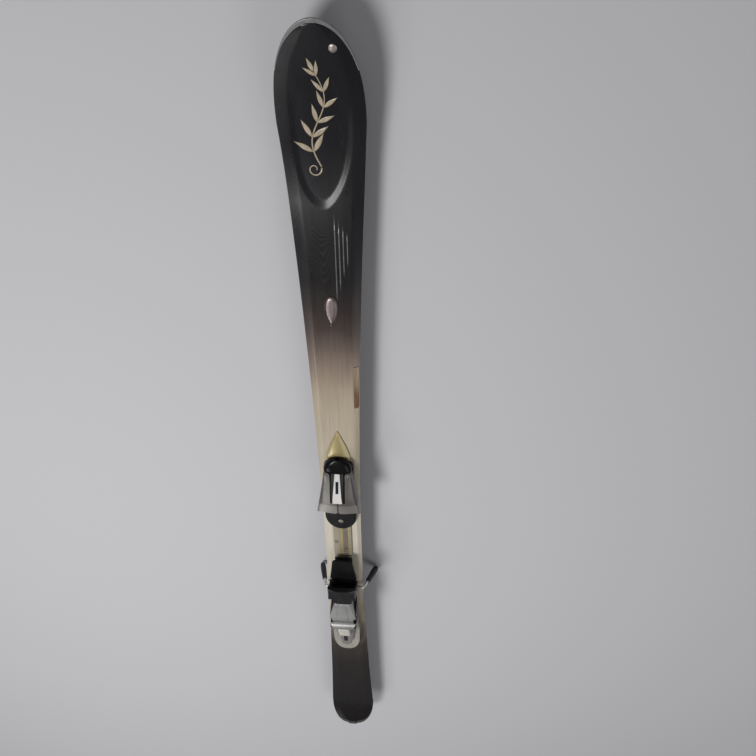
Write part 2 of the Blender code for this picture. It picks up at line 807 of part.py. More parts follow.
def teardrop(inset):
    """The ornament's outline: round in front, widest before its middle, and pointed behind."""
    front = BADGE_FRONT_X - inset
    reach = BADGE_LENGTH - 3.0 * inset
    half = BADGE_HALF_WIDTH - inset
    widest = 0.375**0.45 * 0.625**0.75
    left = []
    for i in range(1, BADGE_STEPS):
        share = ease(i / BADGE_STEPS)
        swell = share**0.45 * (1 - share) ** 0.75 / widest
        left.append((front - share * reach, half * swell))
    right = [(x, -y) for x, y in reversed(left)]
    return [(front, 0.0)] + left + [(front - reach, 0.0)] + right


def badge_rim():
    def ring(inset, height):
        return [(x, y, cap_z(x, y) + height) for x, y in teardrop(inset)]

    rings = [
        ring(BADGE_RIM, GAP),
        ring(0.0, GAP),
        ring(0.0, GAP + 0.6 * BADGE_RIM_HEIGHT),
        ring(0.3 * BADGE_RIM, GAP + BADGE_RIM_HEIGHT),
        ring(BADGE_RIM, GAP + BADGE_RIM_HEIGHT),
    ]
    shape = bmesh.new()
    loops = [[shape.verts.new(point) for point in points] for points in rings]
    count = len(rings[0])
    for near, far in zip(loops, loops[1:] + loops[:1]):
        for i in range(count):
            k = (i + 1) % count
            shape.faces.new((near[i], near[k], far[k], far[i]))
    finish_mesh("badge_rim", shape, paint("badge_dark", (0.05, 0.045, 0.045), 0.35, 0.6))


def teardrop_badge():
    rings = []
    dome = ((0.0, 0.0), (0.0, 0.40), (0.0007, 0.62), (0.0020, 0.84), (0.0038, 0.95), (0.0060, 1.0))
    for extra, height in dome:
        lift = GAP + height * BADGE_DOME_HEIGHT
        rings.append([(x, y, cap_z(x, y) + lift) for x, y in teardrop(BADGE_RIM + GAP + extra)])
    made = loft("teardrop_badge", rings, paint("badge_silver", (0.74, 0.74, 0.76), 0.25, 1.0))
    smooth(made)


def side_window():
    rings = []
    steps = 7
    for i in range(steps + 1):
        x = between(STRIP_REAR_X, STRIP_FRONT_X, i / steps)
        slope = bevel_width(x)
        shoulder = layer_half_width(x) - slope
        inner, outer = -(shoulder + 0.15 * slope), -(shoulder + 0.88 * slope)
        low = [(x, y, cap_z(x, y) + GAP) for y in (inner, outer)]
        high = [(x, y, cap_z(x, y) + GAP + STRIP_THICKNESS) for y in (outer, inner)]
        rings.append(low + high)
    loft("side_window", rings, paint("strip_amber", (0.55, 0.27, 0.10), 0.3))


def ski_body():
    running_base()
    steel_edge("steel_edge_left", 1)
    steel_edge("steel_edge_right", -1)
    wood_core()
    sidewall("sidewall_left", 1)
    sidewall("sidewall_right", -1)
    topsheet()
    grey = paint("protector_grey", (0.30, 0.30, 0.32), 0.4)
    rim_band("tip_protector", SHOVEL_X, SHOVEL_FROM_TIP, SHOVEL_WIDTH, TIP_ROUNDNESS, TIP_BLUNTNESS, grey)
    brown = paint("protector_dark", (0.07, 0.055, 0.05), 0.45)
    tail = (WIDE_TAIL_X, WIDE_TAIL_FROM_END, TAIL_WIDTH, TAIL_ROUNDNESS, TAIL_BLUNTNESS)
    rim_band("tail_protector", *tail, brown)
    tip_rivet()
    badge_rim()
    teardrop_badge()
    side_window()


# The rail and its inlays
def rail_profile():
    """The rail's section: a narrow foot under a wide flange."""
    foot, wide = RAIL_FOOT_HALF_WIDTH, RAIL_HALF_WIDTH
    chamfer = 0.0008
    inner = FLANGE_BOTTOM + RAIL_FLANGE_DRAFT
    right = [(foot, RAIL_BOTTOM), (foot, inner), (wide, FLANGE_BOTTOM)]
    right += [(wide, RAIL_TOP - chamfer), (wide - chamfer, RAIL_TOP)]
    return right + [(-y, z) for y, z in reversed(right)]


def groove(name, middle, width):
    half = width / 2 + GAP
    low = (RAIL_REAR - 0.01, middle - half, RAIL_TOP - GROOVE_DEPTH)
    return block(name, low, (RAIL_FRONT + 0.01, middle + half, RAIL_TOP + 0.01))


def binding_rail():
    grey = paint("rail_grey", (0.36, 0.34, 0.31), 0.4)
    made = prism_along("binding_rail", rail_profile(), RAIL_REAR, RAIL_FRONT, grey)
    cut(made, groove("gold_left_groove", GOLD_LEFT_Y, GOLD_LEFT_WIDTH))
    cut(made, groove("rack_groove", RACK_Y, RACK_WIDTH))
    cut(made, groove("gold_right_groove", GOLD_RIGHT_Y, GOLD_RIGHT_WIDTH))
    for i, x in enumerate(RAIL_SCREW_XS):
        low = (x, RAIL_SCREW_Y, RAIL_TOP - RAIL_SCREW_HEAD)
        high = (x, RAIL_SCREW_Y, RAIL_TOP + 0.01)
        cut(made, rod(f"rail_screw_seat_{i}", low, high, RAIL_SCREW_RADIUS + GAP, steps=16))


def rail_inlay(name, middle, width, material):
    low = RAIL_TOP - GROOVE_DEPTH + GAP
    high = low + INLAY_THICKNESS
    block(name, (RAIL_REAR, middle - width / 2, low), (RAIL_FRONT, middle + width / 2, high), material)


def scale_rack():
    """A bar with shallow teeth where the scale is read and where the worm bites."""
    low = RAIL_TOP - GROOVE_DEPTH + GAP
    top = low + INLAY_THICKNESS
    root = top - RACK_TOOTH_HEIGHT
    heights = [(RAIL_FRONT, top)]
    for first, teeth in RACK_TOOTH_ZONES:
        for i in range(teeth):
            edge = first - i * RACK_PITCH
            foot = edge - RACK_FLANK_LENGTH
            far = foot - RACK_ROOT_WIDTH
            heights += [(edge, top), (foot, root), (far, root), (far - RACK_FLANK_LENGTH, top)]
    heights.append((RAIL_REAR, top))
    right, left = RACK_Y - RACK_WIDTH / 2, RACK_Y + RACK_WIDTH / 2
    rings = [[(x, right, low), (x, left, low), (x, left, z), (x, right, z)] for x, z in heights]
    loft("scale_rack", rings, paint("rack_brown", (0.23, 0.19, 0.16), 0.4, 0.5))


def rail_screw(name, x):
    """A countersunk head with a round socket in its face."""
    profile = [
        (0.0, 0.45 * RAIL_SCREW_RADIUS),
        (0.0007, RAIL_SCREW_RADIUS - GAP),
        (RAIL_SCREW_HEAD - GAP, RAIL_SCREW_RADIUS - GAP),
        (RAIL_SCREW_HEAD - GAP, 0.40 * RAIL_SCREW_RADIUS),
        (0.0008, 0.34 * RAIL_SCREW_RADIUS),
    ]
    start = (x, RAIL_SCREW_Y, RAIL_TOP - RAIL_SCREW_HEAD + GAP)
    turned(name, start, (0, 0, 1), profile, paint("screw_steel", (0.5, 0.5, 0.52), 0.35, 1.0), 12)


def front_ramp():
    """A spear shape that rises from its tip to the toe piece."""
    rings = []
    # Share of the length from the tip, then the shares of the full width and height there.
    swell = ((0.0, 0.04, 0.10), (0.25, 0.36, 0.38), (0.55, 0.72, 0.72), (0.80, 0.95, 0.93), (1.0, 1.0, 1.0))
    for share, wide, high in swell:
        x = between(RAMP_TIP_X, RAMP_REAR_X, share)
        base = PLATFORM_TOP + GAP if x < PLATFORM_FRONT else cap_z(x, 0.0) + GAP
        half, ridge = RAMP_HALF_WIDTH * wide, RAMP_TOP_HALF_WIDTH * wide
        top = base + 0.0010 + RAMP_HEIGHT * high
        edge = base + 0.0010 + 0.25 * RAMP_HEIGHT * high
        side = [(half, base), (half, edge), (ridge, top)]
        rings.append([(x, y, z) for y, z in side] + [(x, -y, z) for y, z in reversed(side)])
    loft("front_ramp", rings, paint("gold_ramp", (0.62, 0.48, 0.20), 0.35, 0.6))


def rail_group():
    binding_rail()
    gold = paint("gold_strip", (0.60, 0.52, 0.22), 0.35, 0.6)
    rail_inlay("gold_strip_left", GOLD_LEFT_Y, GOLD_LEFT_WIDTH, gold)
    rail_inlay("gold_strip_right", GOLD_RIGHT_Y, GOLD_RIGHT_WIDTH, gold)
    scale_rack()
    for i, x in enumerate(RAIL_SCREW_XS):
        rail_screw(f"rail_screw_{i + 1}", x)
    front_ramp()


# The toe piece
def rail_channel(name, rear, front):
    """The space that a carriage leaves round the rail."""
    wide, foot = RAIL_HALF_WIDTH + GAP, RAIL_FOOT_HALF_WIDTH + GAP
    low, ledge = RAIL_BOTTOM - 0.01, FLANGE_BOTTOM - GAP
    right = [(foot, low), (foot, ledge + RAIL_FLANGE_DRAFT), (wide, ledge), (wide, CARRIAGE_BOTTOM)]
    return prism_along(name, right + [(-y, z) for y, z in reversed(right)], rear, front)


def wing_bore(name, side, low):
    """The hole for a wing's pin, from the given height upwards."""
    foot = (WING_PIVOT_X, side * WING_PIVOT_Y, low)
    return rod(name, foot, (foot[0], foot[1], WING_TOP + 0.01), WING_PIN_RADIUS + GAP, steps=16)


def toe_base():
    wide, shoulder = TOE_BASE_HALF_WIDTH, TOE_SHOULDER_HALF_WIDTH
    side = [(TOE_BASE_REAR, wide), (TOE_SHOULDER_REAR - 0.006, wide), (TOE_SHOULDER_REAR, shoulder)]
    middle = (TOE_BASE_FRONT - TOE_FRONT_CORNER, shoulder - TOE_FRONT_CORNER)
    for i in range(6):
        turn = math.radians(90 * (1 - i / 5))
        across = middle[1] + TOE_FRONT_CORNER * math.sin(turn)
        side.append((middle[0] + TOE_FRONT_CORNER * math.cos(turn), across))
    outline = [(x, -y) for x, y in side] + [(x, y) for x, y in reversed(side)]
    black = paint("toe_black", (0.02, 0.02, 0.022), 0.35)
    made = prism_up("toe_base", outline, RAIL_BOTTOM + GAP, TOE_BASE_TOP, black)
    cut(made, rail_channel("toe_channel", TOE_BASE_REAR - 0.01, TOE_BASE_FRONT + 0.01))
    low = (TOE_BASE_REAR - 0.01, -0.04, RAIL_BOTTOM - 0.01)
    cut(made, block("toe_base_step", low, (GLIDE_FRONT_X + 2 * GAP, 0.04, 0.03)))
    for name, side in (("left", 1), ("right", -1)):
        cut(made, wing_bore(f"toe_base_bore_{name}", side, TOE_BASE_TOP - WING_PIN_DEPTH))


def housing_top(x):
    """Height of the housing's sloping top."""
    if x < HOUSING_CREST_X:
        return HOUSING_CREST_Z
    share = (x - HOUSING_CREST_X) / (HOUSING_FRONT - HOUSING_CREST_X)
    return between(HOUSING_CREST_Z, HOUSING_FRONT_Z, share)


def panel_half(x):
    share = (x - HOUSING_REAR) / (HOUSING_FRONT - HOUSING_REAR)
    return between(PANEL_REAR_HALF, PANEL_FRONT_HALF, share)


def window_outline(rear, front, surface, low, high):
    """An (x, z) outline between two depths under a sloping surface."""
    return [
        (rear, surface(rear) - low),
        (front, surface(front) - low),
        (front, surface(front) - high),
        (rear, surface(rear) - high),
    ]


def toe_housing():
    low = TOE_BASE_TOP + GAP
    rings = []
    for x in (HOUSING_REAR, HOUSING_CREST_X, HOUSING_FRONT):
        wide, top, inner = HOUSING_HALF_WIDTH, housing_top(x), panel_half(x) + GAP
        rib = inner + RIB_WIDTH
        side = [(wide, low), (wide, top - HOUSING_CHAMFER), (wide - HOUSING_CHAMFER, top), (rib, top)]
        side += [(rib, top + RIB_HEIGHT), (inner, top + RIB_HEIGHT), (inner, top - 2 * GAP)]
        rings.append([(x, -y, z) for y, z in reversed(side)] + [(x, y, z) for y, z in side])
    made = loft("toe_housing", rings, paint("toe_black", (0.02, 0.02, 0.022), 0.35))
    slot = TOE_WINDOW_HALF + GAP
    outline = window_outline(TOE_WINDOW_REAR, TOE_WINDOW_FRONT, housing_top, CHANNEL_DEPTH, -0.01)
    cut(made, prism_across("toe_indicator_channel", outline, -slot, slot))
    inside, outside = HOUSING_FRONT - TOE_SCREW_DEPTH, HOUSING_FRONT + 0.01
    radius = SETTING_SHANK_RADIUS + GAP
    cut(made, rod("toe_screw_bore", (inside, 0, TOE_SCREW_Z), (outside, 0, TOE_SCREW_Z), radius))


def toe_panel():
    """The pale plate between the ribs, with a window opening."""
    rings = []
    for x in (HOUSING_REAR + GAP, HOUSING_CREST_X, HOUSING_FRONT - GAP):
        half, low = panel_half(x), housing_top(x) - GAP
        high = low + PANEL_DEPTH
        rings.append([(x, -half, low), (x, half, low), (x, half, high), (x, -half, high)])
    made = loft("toe_panel", rings, paint("panel_white", (0.80, 0.79, 0.76), 0.35))
    half = TOE_WINDOW_HALF + GAP
    cut(made, block("toe_window_opening", (TOE_WINDOW_REAR, -half, 0.03), (TOE_WINDOW_FRONT, half, 0.06)))


def toe_window():
    outline = window_outline(
        TOE_WINDOW_REAR + GAP, TOE_WINDOW_FRONT - GAP, housing_top, GAP, GAP - 0.9 * PANEL_DEPTH
    )
    black = paint("window_black", (0.01, 0.01, 0.012), 0.1)
    prism_across("toe_window", outline, -TOE_WINDOW_HALF, TOE_WINDOW_HALF, black)


def indicator(name, rear, surface, deep, shallow, half):
    """The small slide under a window, between two depths under the housing's top."""
    outline = window_outline(rear, rear + INDICATOR_LENGTH, surface, deep, shallow)
    made = prism_across(name, outline, -half, half, paint("indicator_orange", (0.75, 0.30, 0.06), 0.4))
    put_origin(made, (rear, 0.0, surface(rear) - deep))


def toe_indicator():
    """It starts at the rear end of its travel."""
    deep = CHANNEL_DEPTH - 2 * GAP
    half = TOE_WINDOW_HALF - GAP
    indicator("toe_indicator", TOE_WINDOW_REAR + 0.004, housing_top, deep, 0.45 * deep, half)


def nose_half(x):
    """Half the width of the nose, which is rounded in front."""
    share = (x - HOUSING_FRONT) / (NOSE_FRONT + NOSE_BLUNT - HOUSING_FRONT)
    return NOSE_HALF_WIDTH * math.sqrt(1 - share**2.3)


def toe_nose():
    low = TOE_BASE_TOP + GAP
    rings = []
    rear = HOUSING_FRONT + GAP
    # Shares of half the width, and of the height there
    dome = ((1.0, 0.0), (1.0, 0.46), (0.95, 0.68), (0.84, 0.85), (0.66, 0.96), (0.34, 1.0))
    for share in (0.0, 0.25, 0.45, 0.62, 0.76, 0.87, 0.95, 1.0):
        x = between(rear, NOSE_FRONT, share)
        half = nose_half(x)
        top = between(NOSE_REAR_TOP, NOSE_FRONT_TOP, share**2)
        side = [(half * wide, between(low, top, high)) for wide, high in dome]
        rings.append([(x, y, z) for y, z in side] + [(x, -y, z) for y, z in reversed(side)])
    made = loft("toe_nose", rings, paint("nose_black", (0.02, 0.02, 0.022), 0.25))
    bevel(made, 0.0008)
    for name, side in (("left", 1), ("right", -1)):
        foot = Vector((WING_PIVOT_X, side * WING_PIVOT_Y, TOE_BASE_TOP - 0.002))
        head = foot + Vector((0.0, 0.0, 0.03))
        cut(made, rod(f"nose_relief_{name}", foot, head, WING_PIVOT_RADIUS + 2 * GAP, steps=32))
    bore = ((HOUSING_FRONT - 0.002, 0, TOE_SCREW_Z), (NOSE_FRONT + 0.01, 0, TOE_SCREW_Z))
    cut(made, rod("nose_screw_bore", *bore, TOE_SCREW_RADIUS + GAP))


def slotted_screw(name, face, direction, radius, head_length, shank_length):
    """A setting screw: its slotted head faces along direction and its shank points the other way."""
    profile = [
        (-head_length - shank_length, SETTING_SHANK_RADIUS),
        (-head_length, SETTING_SHANK_RADIUS),
        (-head_length, radius),
        (-0.0004, radius),
        (0.0, radius - 0.0004),
    ]
    steel = paint("setting_steel", (0.55, 0.55, 0.57), 0.3, 1.0)
    made = turned(name, face, (direction, 0.0, 0.0), profile, steel)
    bottom = face[0] - direction * 0.0010
    near, far = sorted((bottom, bottom + direction * 0.01))
    across, half = radius + 0.001, SCREW_SLOT_WIDTH / 2
    low, high = (near, -across, face[2] - half), (far, across, face[2] + half)
    cut(made, block(f"{name}_slot", low, high))


def toe_setting_screw():
    face = (HOUSING_FRONT + 0.0185, 0.0, TOE_SCREW_Z)
    slotted_screw("toe_setting_screw", face, 1, TOE_SCREW_RADIUS, 0.0050, 0.0240)


def wing_outer(x):
    """Distance of a wing's outer face from the middle of the ski."""
    share = (WING_PIVOT_X - x) / (WING_PIVOT_X - WING_TIP_X)
    front = WING_PIVOT_Y + WING_PIVOT_RADIUS
    return between(front, WING_TIP_Y, share**1.1)


def wing_inner(x):
    """Distance of a wing's inner face: straight beside the housing, then round the boot's toe."""
    if x > JAW_FRONT:
        return WING_INNER_Y
    share = (JAW_FRONT - x) / (JAW_FRONT - WING_TIP_X)
    return min(between(JAW_INNER_Y, WING_TIP_Y - WING_WALL, share**0.55), wing_outer(x) - WING_WALL)


def wing_top(x, y):
    """Height of a wing's top, which falls outwards and towards both its ends."""
    lift = ease((WING_PIVOT_X - x) / (WING_PIVOT_X - 0.140))
    sink = 0.006 * ease((LIP_REAR - x) / (LIP_REAR - WING_TIP_X))
    fall = WING_FALL * lift * (y / wing_outer(x)) ** 2
    return between(WING_PIVOT_TOP, WING_TOP, lift) - sink - fall


def wing_lip(name, side):
    """The lip over the boot's toe, its top falling outwards with the wing."""
    front = HOUSING_REAR - 0.0015
    spans = [
        (LIP_REAR, LIP_INNER_Y + LIP_CORNER, wing_inner(LIP_REAR)),
        (LIP_REAR + LIP_CORNER, LIP_INNER_Y, wing_inner(LIP_REAR + LIP_CORNER)),
        (0.120, LIP_INNER_Y, wing_inner(0.120)),
        (front, LIP_INNER_Y, JAW_INNER_Y),
    ]
    low = WING_TOP - LIP_THICKNESS
    rings = []
    for x, inner, wall in spans:
        outer = wall + 0.001
        ys = [between(outer, inner, i / 6) for i in range(7)]
        ring = [(x, y, wing_top(x, y) - LIP_STEP) for y in ys]
        ring += [(x, inner, low), (x, outer, low)]
        rings.append([(x, side * y, z) for x, y, z in ring])
    return loft(name, rings)


def toe_wing(name, side):
    """One wing of the toe piece: its side wall, the round knuckle and the lip over the boot."""
    low = TOE_BASE_TOP + GAP
    # Shares of the way from the outer face to the inner one, and of the rounding there
    crown = ((0.0, 1.0), (0.05, 0.55), (0.16, 0.22), (0.34, 0.05), (0.65, 0.0), (1.0, 0.0))
    rings = []
    xs = [WING_TIP_X] + even_steps(WING_TIP_X, JAW_FRONT, 6) + [JAW_FRONT, JAW_FRONT + 0.0015]
    xs += even_steps(JAW_FRONT, WING_PIVOT_X, 4) + [WING_PIVOT_X]
    for x in xs:
        inner, outer = wing_inner(x), wing_outer(x)
        ring = [(inner, low), (outer, low)]
        for inward, rounding in crown:
            y = between(outer, inner, inward)
            ring.append((y, wing_top(x, y) - WING_ROUND * rounding))
        rings.append([(x, side * y, z) for y, z in ring])
    made = loft(name, rings, paint("wing_silver", (0.55, 0.55, 0.56), 0.32, 0.7))
    foot = (WING_PIVOT_X, side * WING_PIVOT_Y, low)
    knuckle = rod(f"{name}_knuckle", foot, (foot[0], foot[1], WING_PIVOT_TOP), WING_PIVOT_RADIUS, steps=32)
    fuse(made, knuckle, wing_lip(f"{name}_lip", side))
    cut(made, wing_bore(f"{name}_bore", side, TOE_BASE_TOP - WING_PIN_DEPTH))
    put_origin(made, foot)


def wing_pin(name, side):
    foot = TOE_BASE_TOP - WING_PIN_DEPTH + GAP
    reach = WING_PIVOT_TOP + 0.0006 - foot
    radius = WING_PIN_RADIUS
    profile = [(0.0, radius), (reach - 0.0004, radius), (reach, radius - 0.0004)]
    start = (WING_PIVOT_X, side * WING_PIVOT_Y, foot)
    turned(name, start, (0, 0, 1), profile, paint("pin_steel", (0.6, 0.6, 0.62), 0.3, 1.0), 16)


def half_moon(inset, front):
    """Outline of the glide plate: straight in front, half round behind."""
    half = GLIDE_HALF_WIDTH - inset
    reach = GLIDE_WIDEST_X - GLIDE_REAR_X - inset
    steps = 16
    angles = [math.pi * (0.5 + i / steps) for i in range(steps + 1)]
    rear = [(GLIDE_WIDEST_X + reach * math.cos(a), half * math.sin(a)) for a in angles]
    return [(front, half)] + rear + [(front, -half)]


def toe_glide_base():
    black = paint("glide_black", (0.018, 0.018, 0.02), 0.4)
    prism_up("toe_glide_base", half_moon(0.0, GLIDE_FRONT_X), CARRIAGE_BOTTOM, GLIDE_BASE_TOP, black)


def toe_glide():
    """The plate that swings a little on its rivet."""
    outline = half_moon(GLIDE_PLATE_INSET, GLIDE_PLATE_FRONT)
    satin = paint("glide_satin", (0.03, 0.03, 0.033), 0.25)
    plate = prism_up("toe_glide", outline, GLIDE_BASE_TOP + GAP, GLIDE_TOP, satin)
    bevel(plate, 0.0005)
    foot, head = (GLIDE_RIVET_X, 0, GLIDE_BASE_TOP - 0.001), (GLIDE_RIVET_X, 0, GLIDE_TOP + 0.01)
    cut(plate, rod("glide_bore", foot, head, GLIDE_RIVET_RADIUS + GAP))
    put_origin(plate, (GLIDE_RIVET_X, 0.0, GLIDE_BASE_TOP))


def glide_rivet():
    reach = GLIDE_TOP - GLIDE_BASE_TOP
    radius = GLIDE_RIVET_RADIUS
    profile = [(GAP, radius), (reach - 0.0006, radius), (reach - 0.0001, 0.7 * radius)]
    silver = paint("rivet_silver", (0.72, 0.73, 0.75), 0.3, 1.0)
    smooth(turned("glide_rivet", (GLIDE_RIVET_X, 0, GLIDE_BASE_TOP), (0, 0, 1), profile, silver))


def toe_group():
    toe_base()
    toe_housing()
    toe_panel()
    toe_window()
    toe_indicator()
    toe_nose()
    toe_setting_screw()
    toe_wing("toe_wing_left", 1)
    toe_wing("toe_wing_right", -1)
    wing_pin("wing_pin_left", 1)
    wing_pin("wing_pin_right", -1)
    toe_glide_base()
    toe_glide()
    glide_rivet()


# The heel piece
def heel_track():
    """The carriage on the rail, flared and rounded at its rear end."""
    flare, half = TRACK_FLARE_HALF, TRACK_HALF_WIDTH
    reach = TRACK_ROUND_LENGTH
    steps = 14
    rear = []
    for i in range(steps + 1):
        angle = math.pi * (0.5 + i / steps)
        across = math.copysign(abs(math.sin(angle)) ** 0.8, math.sin(angle))
        rear.append((TRACK_REAR + reach + reach * math.cos(angle), flare * across))
    left = [(TRACK_FRONT, half), (TRACK_FLARE_X, half), (TRACK_FLARE_X - 0.010, flare)]
    outline = left + rear + [(x, -y) for x, y in reversed(left)]
    pearl = paint("track_pearl", (0.62, 0.58, 0.52), 0.35, 0.2)
    made = prism_up("heel_track", outline, RAIL_BOTTOM + GAP, TRACK_TOP, pearl)
    bevel(made, 0.0010)
    cut(made, rail_channel("track_channel", TRACK_REAR + TRACK_WALL, TRACK_FRONT + 0.01))
    start = (TRACK_REAR - 0.01, RACK_Y, LENGTH_SCREW_Z)
    cut(made, rod("worm_bore", start, (WORM_FRONT + 0.002, RACK_Y, LENGTH_SCREW_Z), WORM_RADIUS + GAP))


def axle_bore(name, axle, radius):
    return rod(name, (axle[0], -0.05, axle[1]), (axle[0], 0.05, axle[1]), radius, steps=16)


def heel_frame():
    """A floor with two cheeks that carry both axles."""
    low = TRACK_TOP + GAP
    floor_top = low + FRAME_FLOOR
    outer = FRAME_CHEEK_OUTER - 0.0006
    foot = low + 0.0010
    black = paint("frame_black", (0.02, 0.02, 0.022), 0.4)
    made = block("heel_frame", (FRAME_REAR, -outer, low), (FRAME_FRONT, outer, floor_top), black)
    r = KNUCKLE_RADIUS
    outline = [(FRAME_REAR + 0.0010, foot), (LEVER_AXLE_X - r, LEVER_AXLE_Z)]
    outline += arc(LEVER_AXLE, r, 170, 10, 10)
    outline += [(LEVER_AXLE_X + r, SADDLE_Z), (BODY_AXLE_X - r - 0.0005, SADDLE_Z)]
    outline += arc(BODY_AXLE, r, 180, 0, 12) + [(FRAME_FRONT - 0.0010, foot)]
    bores = [arc(place, AXLE_RADIUS + GAP, 0, 337.5, 15) for place in (BODY_AXLE, LEVER_AXLE)]
    for name, side in (("left", 1), ("right", -1)):
        right, left = sorted((side * FRAME_CHEEK_INNER, side * FRAME_CHEEK_OUTER))
        fuse(made, prism_across(f"cheek_{name}", outline, right, left, holes=bores))


def axle(name, place):
    """A pin across both cheeks."""
    reach = 2 * FRAME_CHEEK_OUTER + 0.0010
    radius, chamfer = AXLE_RADIUS, 0.0004
    profile = [(0.0, radius - chamfer), (chamfer, radius)]
    profile += [(reach - chamfer, radius), (reach, radius - chamfer)]
    start = (place[0], -reach / 2, place[1])
    smooth(turned(name, start, (0, 1, 0), profile, paint("pin_steel", (0.6, 0.6, 0.62), 0.3, 1.0), 16))


def cheek_clearance(name, centre, radius, front, rear):
    """The space beside the body that both cheeks need; one solid for each side."""
    ends = []
    for side in (1, -1):
        right, left = sorted((side * (FRAME_CHEEK_INNER - GAP), side * 0.05))
        outline = front + arc(centre, radius, 0, 60, 5) + rear
        ends.append(prism_across(f"{name}_{side + 1}", outline, right, left))
    return ends


def heel_body():
    """The silver cover that tilts with the cup, wider behind than in front."""
    corner = 0.002
    outline = [(BODY_FRONT_X, NECK_LOW - corner), (BODY_FRONT_X, BODY_FRONT_TOP - corner)]
    outline += [(BODY_FRONT_X - corner, BODY_FRONT_TOP)]
    outline += arc(BODY_AXLE, BODY_HUB_RADIUS, 90, 275, 14)
    outline += [(BODY_AXLE_X + 0.020, BODY_BOTTOM), (BODY_FRONT_X - 0.008, BODY_BOTTOM)]
    silver = paint("heel_silver", (0.56, 0.56, 0.57), 0.33, 0.7)
    made = prism_across("heel_body", outline, -BODY_REAR_HALF, BODY_REAR_HALF, silver)
    wide, narrow = BODY_REAR_HALF, BODY_FRONT_HALF
    plan = [(BODY_FRONT_X + 0.01, narrow), (BODY_FRONT_X, narrow)]
    plan += [(BODY_AXLE_X, wide), (BODY_AXLE_X - 0.02, wide)]
    plan += [(x, -y) for x, y in reversed(plan)]
    keep_inside(made, prism_up("body_plan", plan, 0.02, 0.09))
    below = [(FRAME_FRONT + 0.006, 0.02), (FRAME_FRONT + 0.002, BODY_BOTTOM + 0.002)]
    behind = [(BODY_AXLE_X - 0.004, 0.09), (BODY_AXLE_X - 0.03, 0.09), (BODY_AXLE_X - 0.03, 0.02)]
    reach = KNUCKLE_RADIUS + KNUCKLE_CLEARANCE
    cut(made, *cheek_clearance("body_clearance", BODY_AXLE, reach, below, behind))
    cut(made, axle_bore("body_bore", BODY_AXLE, AXLE_RADIUS + GAP))
    for name, side in (("left", 1), ("right", -1)):
        top = BODY_AXLE_Z + BODY_HUB_RADIUS
        rings = []
        ends = ((BODY_FRONT_X + 0.001, 0.0068, BODY_FRONT_TOP), (BODY_AXLE_X - 0.001, 0.0125, top))
        for x, across, z in ends:
            near, far = side * across, side * (across + BODY_GROOVE_WIDTH)
            low_z = z - BODY_GROOVE_DEPTH
            rings.append([(x, near, low_z), (x, far, low_z), (x, far, z + 0.004), (x, near, z + 0.004)])
        cut(made, loft(f"body_groove_{name}", rings))
    put_origin(made, (BODY_AXLE_X, 0.0, BODY_AXLE_Z))


def heel_cup():
    """The jaw round the boot's heel: a treadle below, a wall behind and a lip above."""
    half = CUP_HALF_WIDTH
    outline = [
        (CUP_BACK_X, TREADLE_LOW),
        (TREADLE_FRONT - 0.002, TREADLE_LOW),
        (TREADLE_FRONT, TREADLE_LOW + 0.0015),
        (TREADLE_FRONT, TREADLE_TOP),
        (CUP_WALL_BACK, TREADLE_TOP),
        (CUP_WALL_BACK, CUP_LIP_LOW),
        (CUP_LIP_FRONT, CUP_LIP_LOW),
        (CUP_LIP_FRONT, CUP_TOP - 0.003),
        (CUP_LIP_FRONT - 0.004, CUP_TOP),
        (CUP_BAR_REAR, CUP_TOP),
        (CUP_BAR_REAR - 0.0015, CUP_REAR_TOP),
        (CUP_BACK_X, CUP_REAR_TOP),
    ]
    made = prism_across("heel_cup", outline, -half, half, paint("cup_black", (0.022, 0.022, 0.024), 0.32))
    overlap = 0.002
    rear, front = CUP_BACK_X + overlap, CUP_WING_FRONT
    low, high = TREADLE_LOW + overlap, CUP_LIP_LOW + overlap
    wing = [(rear, low), (front, low), (front, high), (rear, high)]
    for name, side in (("left", 1), ("right", -1)):
        right, left = sorted((side * (half - CUP_WING_WALL), side * half))
        fuse(made, prism_across(f"cup_wing_{name}", wing, right, left))
    section = [(half + 0.001, 0.02), (half + 0.001, high + 0.001), (half - CUP_SHOULDER, CUP_TOP + 0.001)]
    section += [(-y, z) for y, z in reversed(section)]
    keep_inside(made, prism_along("cup_section", section, CUP_BACK_X - 0.01, CUP_LIP_FRONT + 0.02))
    centre_x = CUP_LIP_BACK + CUP_LIP_RADIUS
    foot, head = (centre_x, 0, CUP_LIP_LOW - 0.001), (centre_x, 0, CUP_TOP + 0.01)
    cut(made, rod("cup_lip_round", foot, head, CUP_LIP_RADIUS, steps=96))
    neck_rear = (BODY_FRONT_X + GAP, -NECK_HALF_WIDTH, NECK_LOW)
    fuse(made, block("cup_neck", neck_rear, (CUP_BACK_X + overlap, NECK_HALF_WIDTH, NECK_TOP)))
    put_origin(made, (BODY_AXLE_X, 0.0, BODY_AXLE_Z))


def lever_top(x):
    """Height of the lever's sloping top."""
    start = LEVER_AXLE_Z + LEVER_HUB_RADIUS
    return between(start, LEVER_REAR_TOP, (LEVER_AXLE_X - x) / (LEVER_AXLE_X - LEVER_REAR_X))


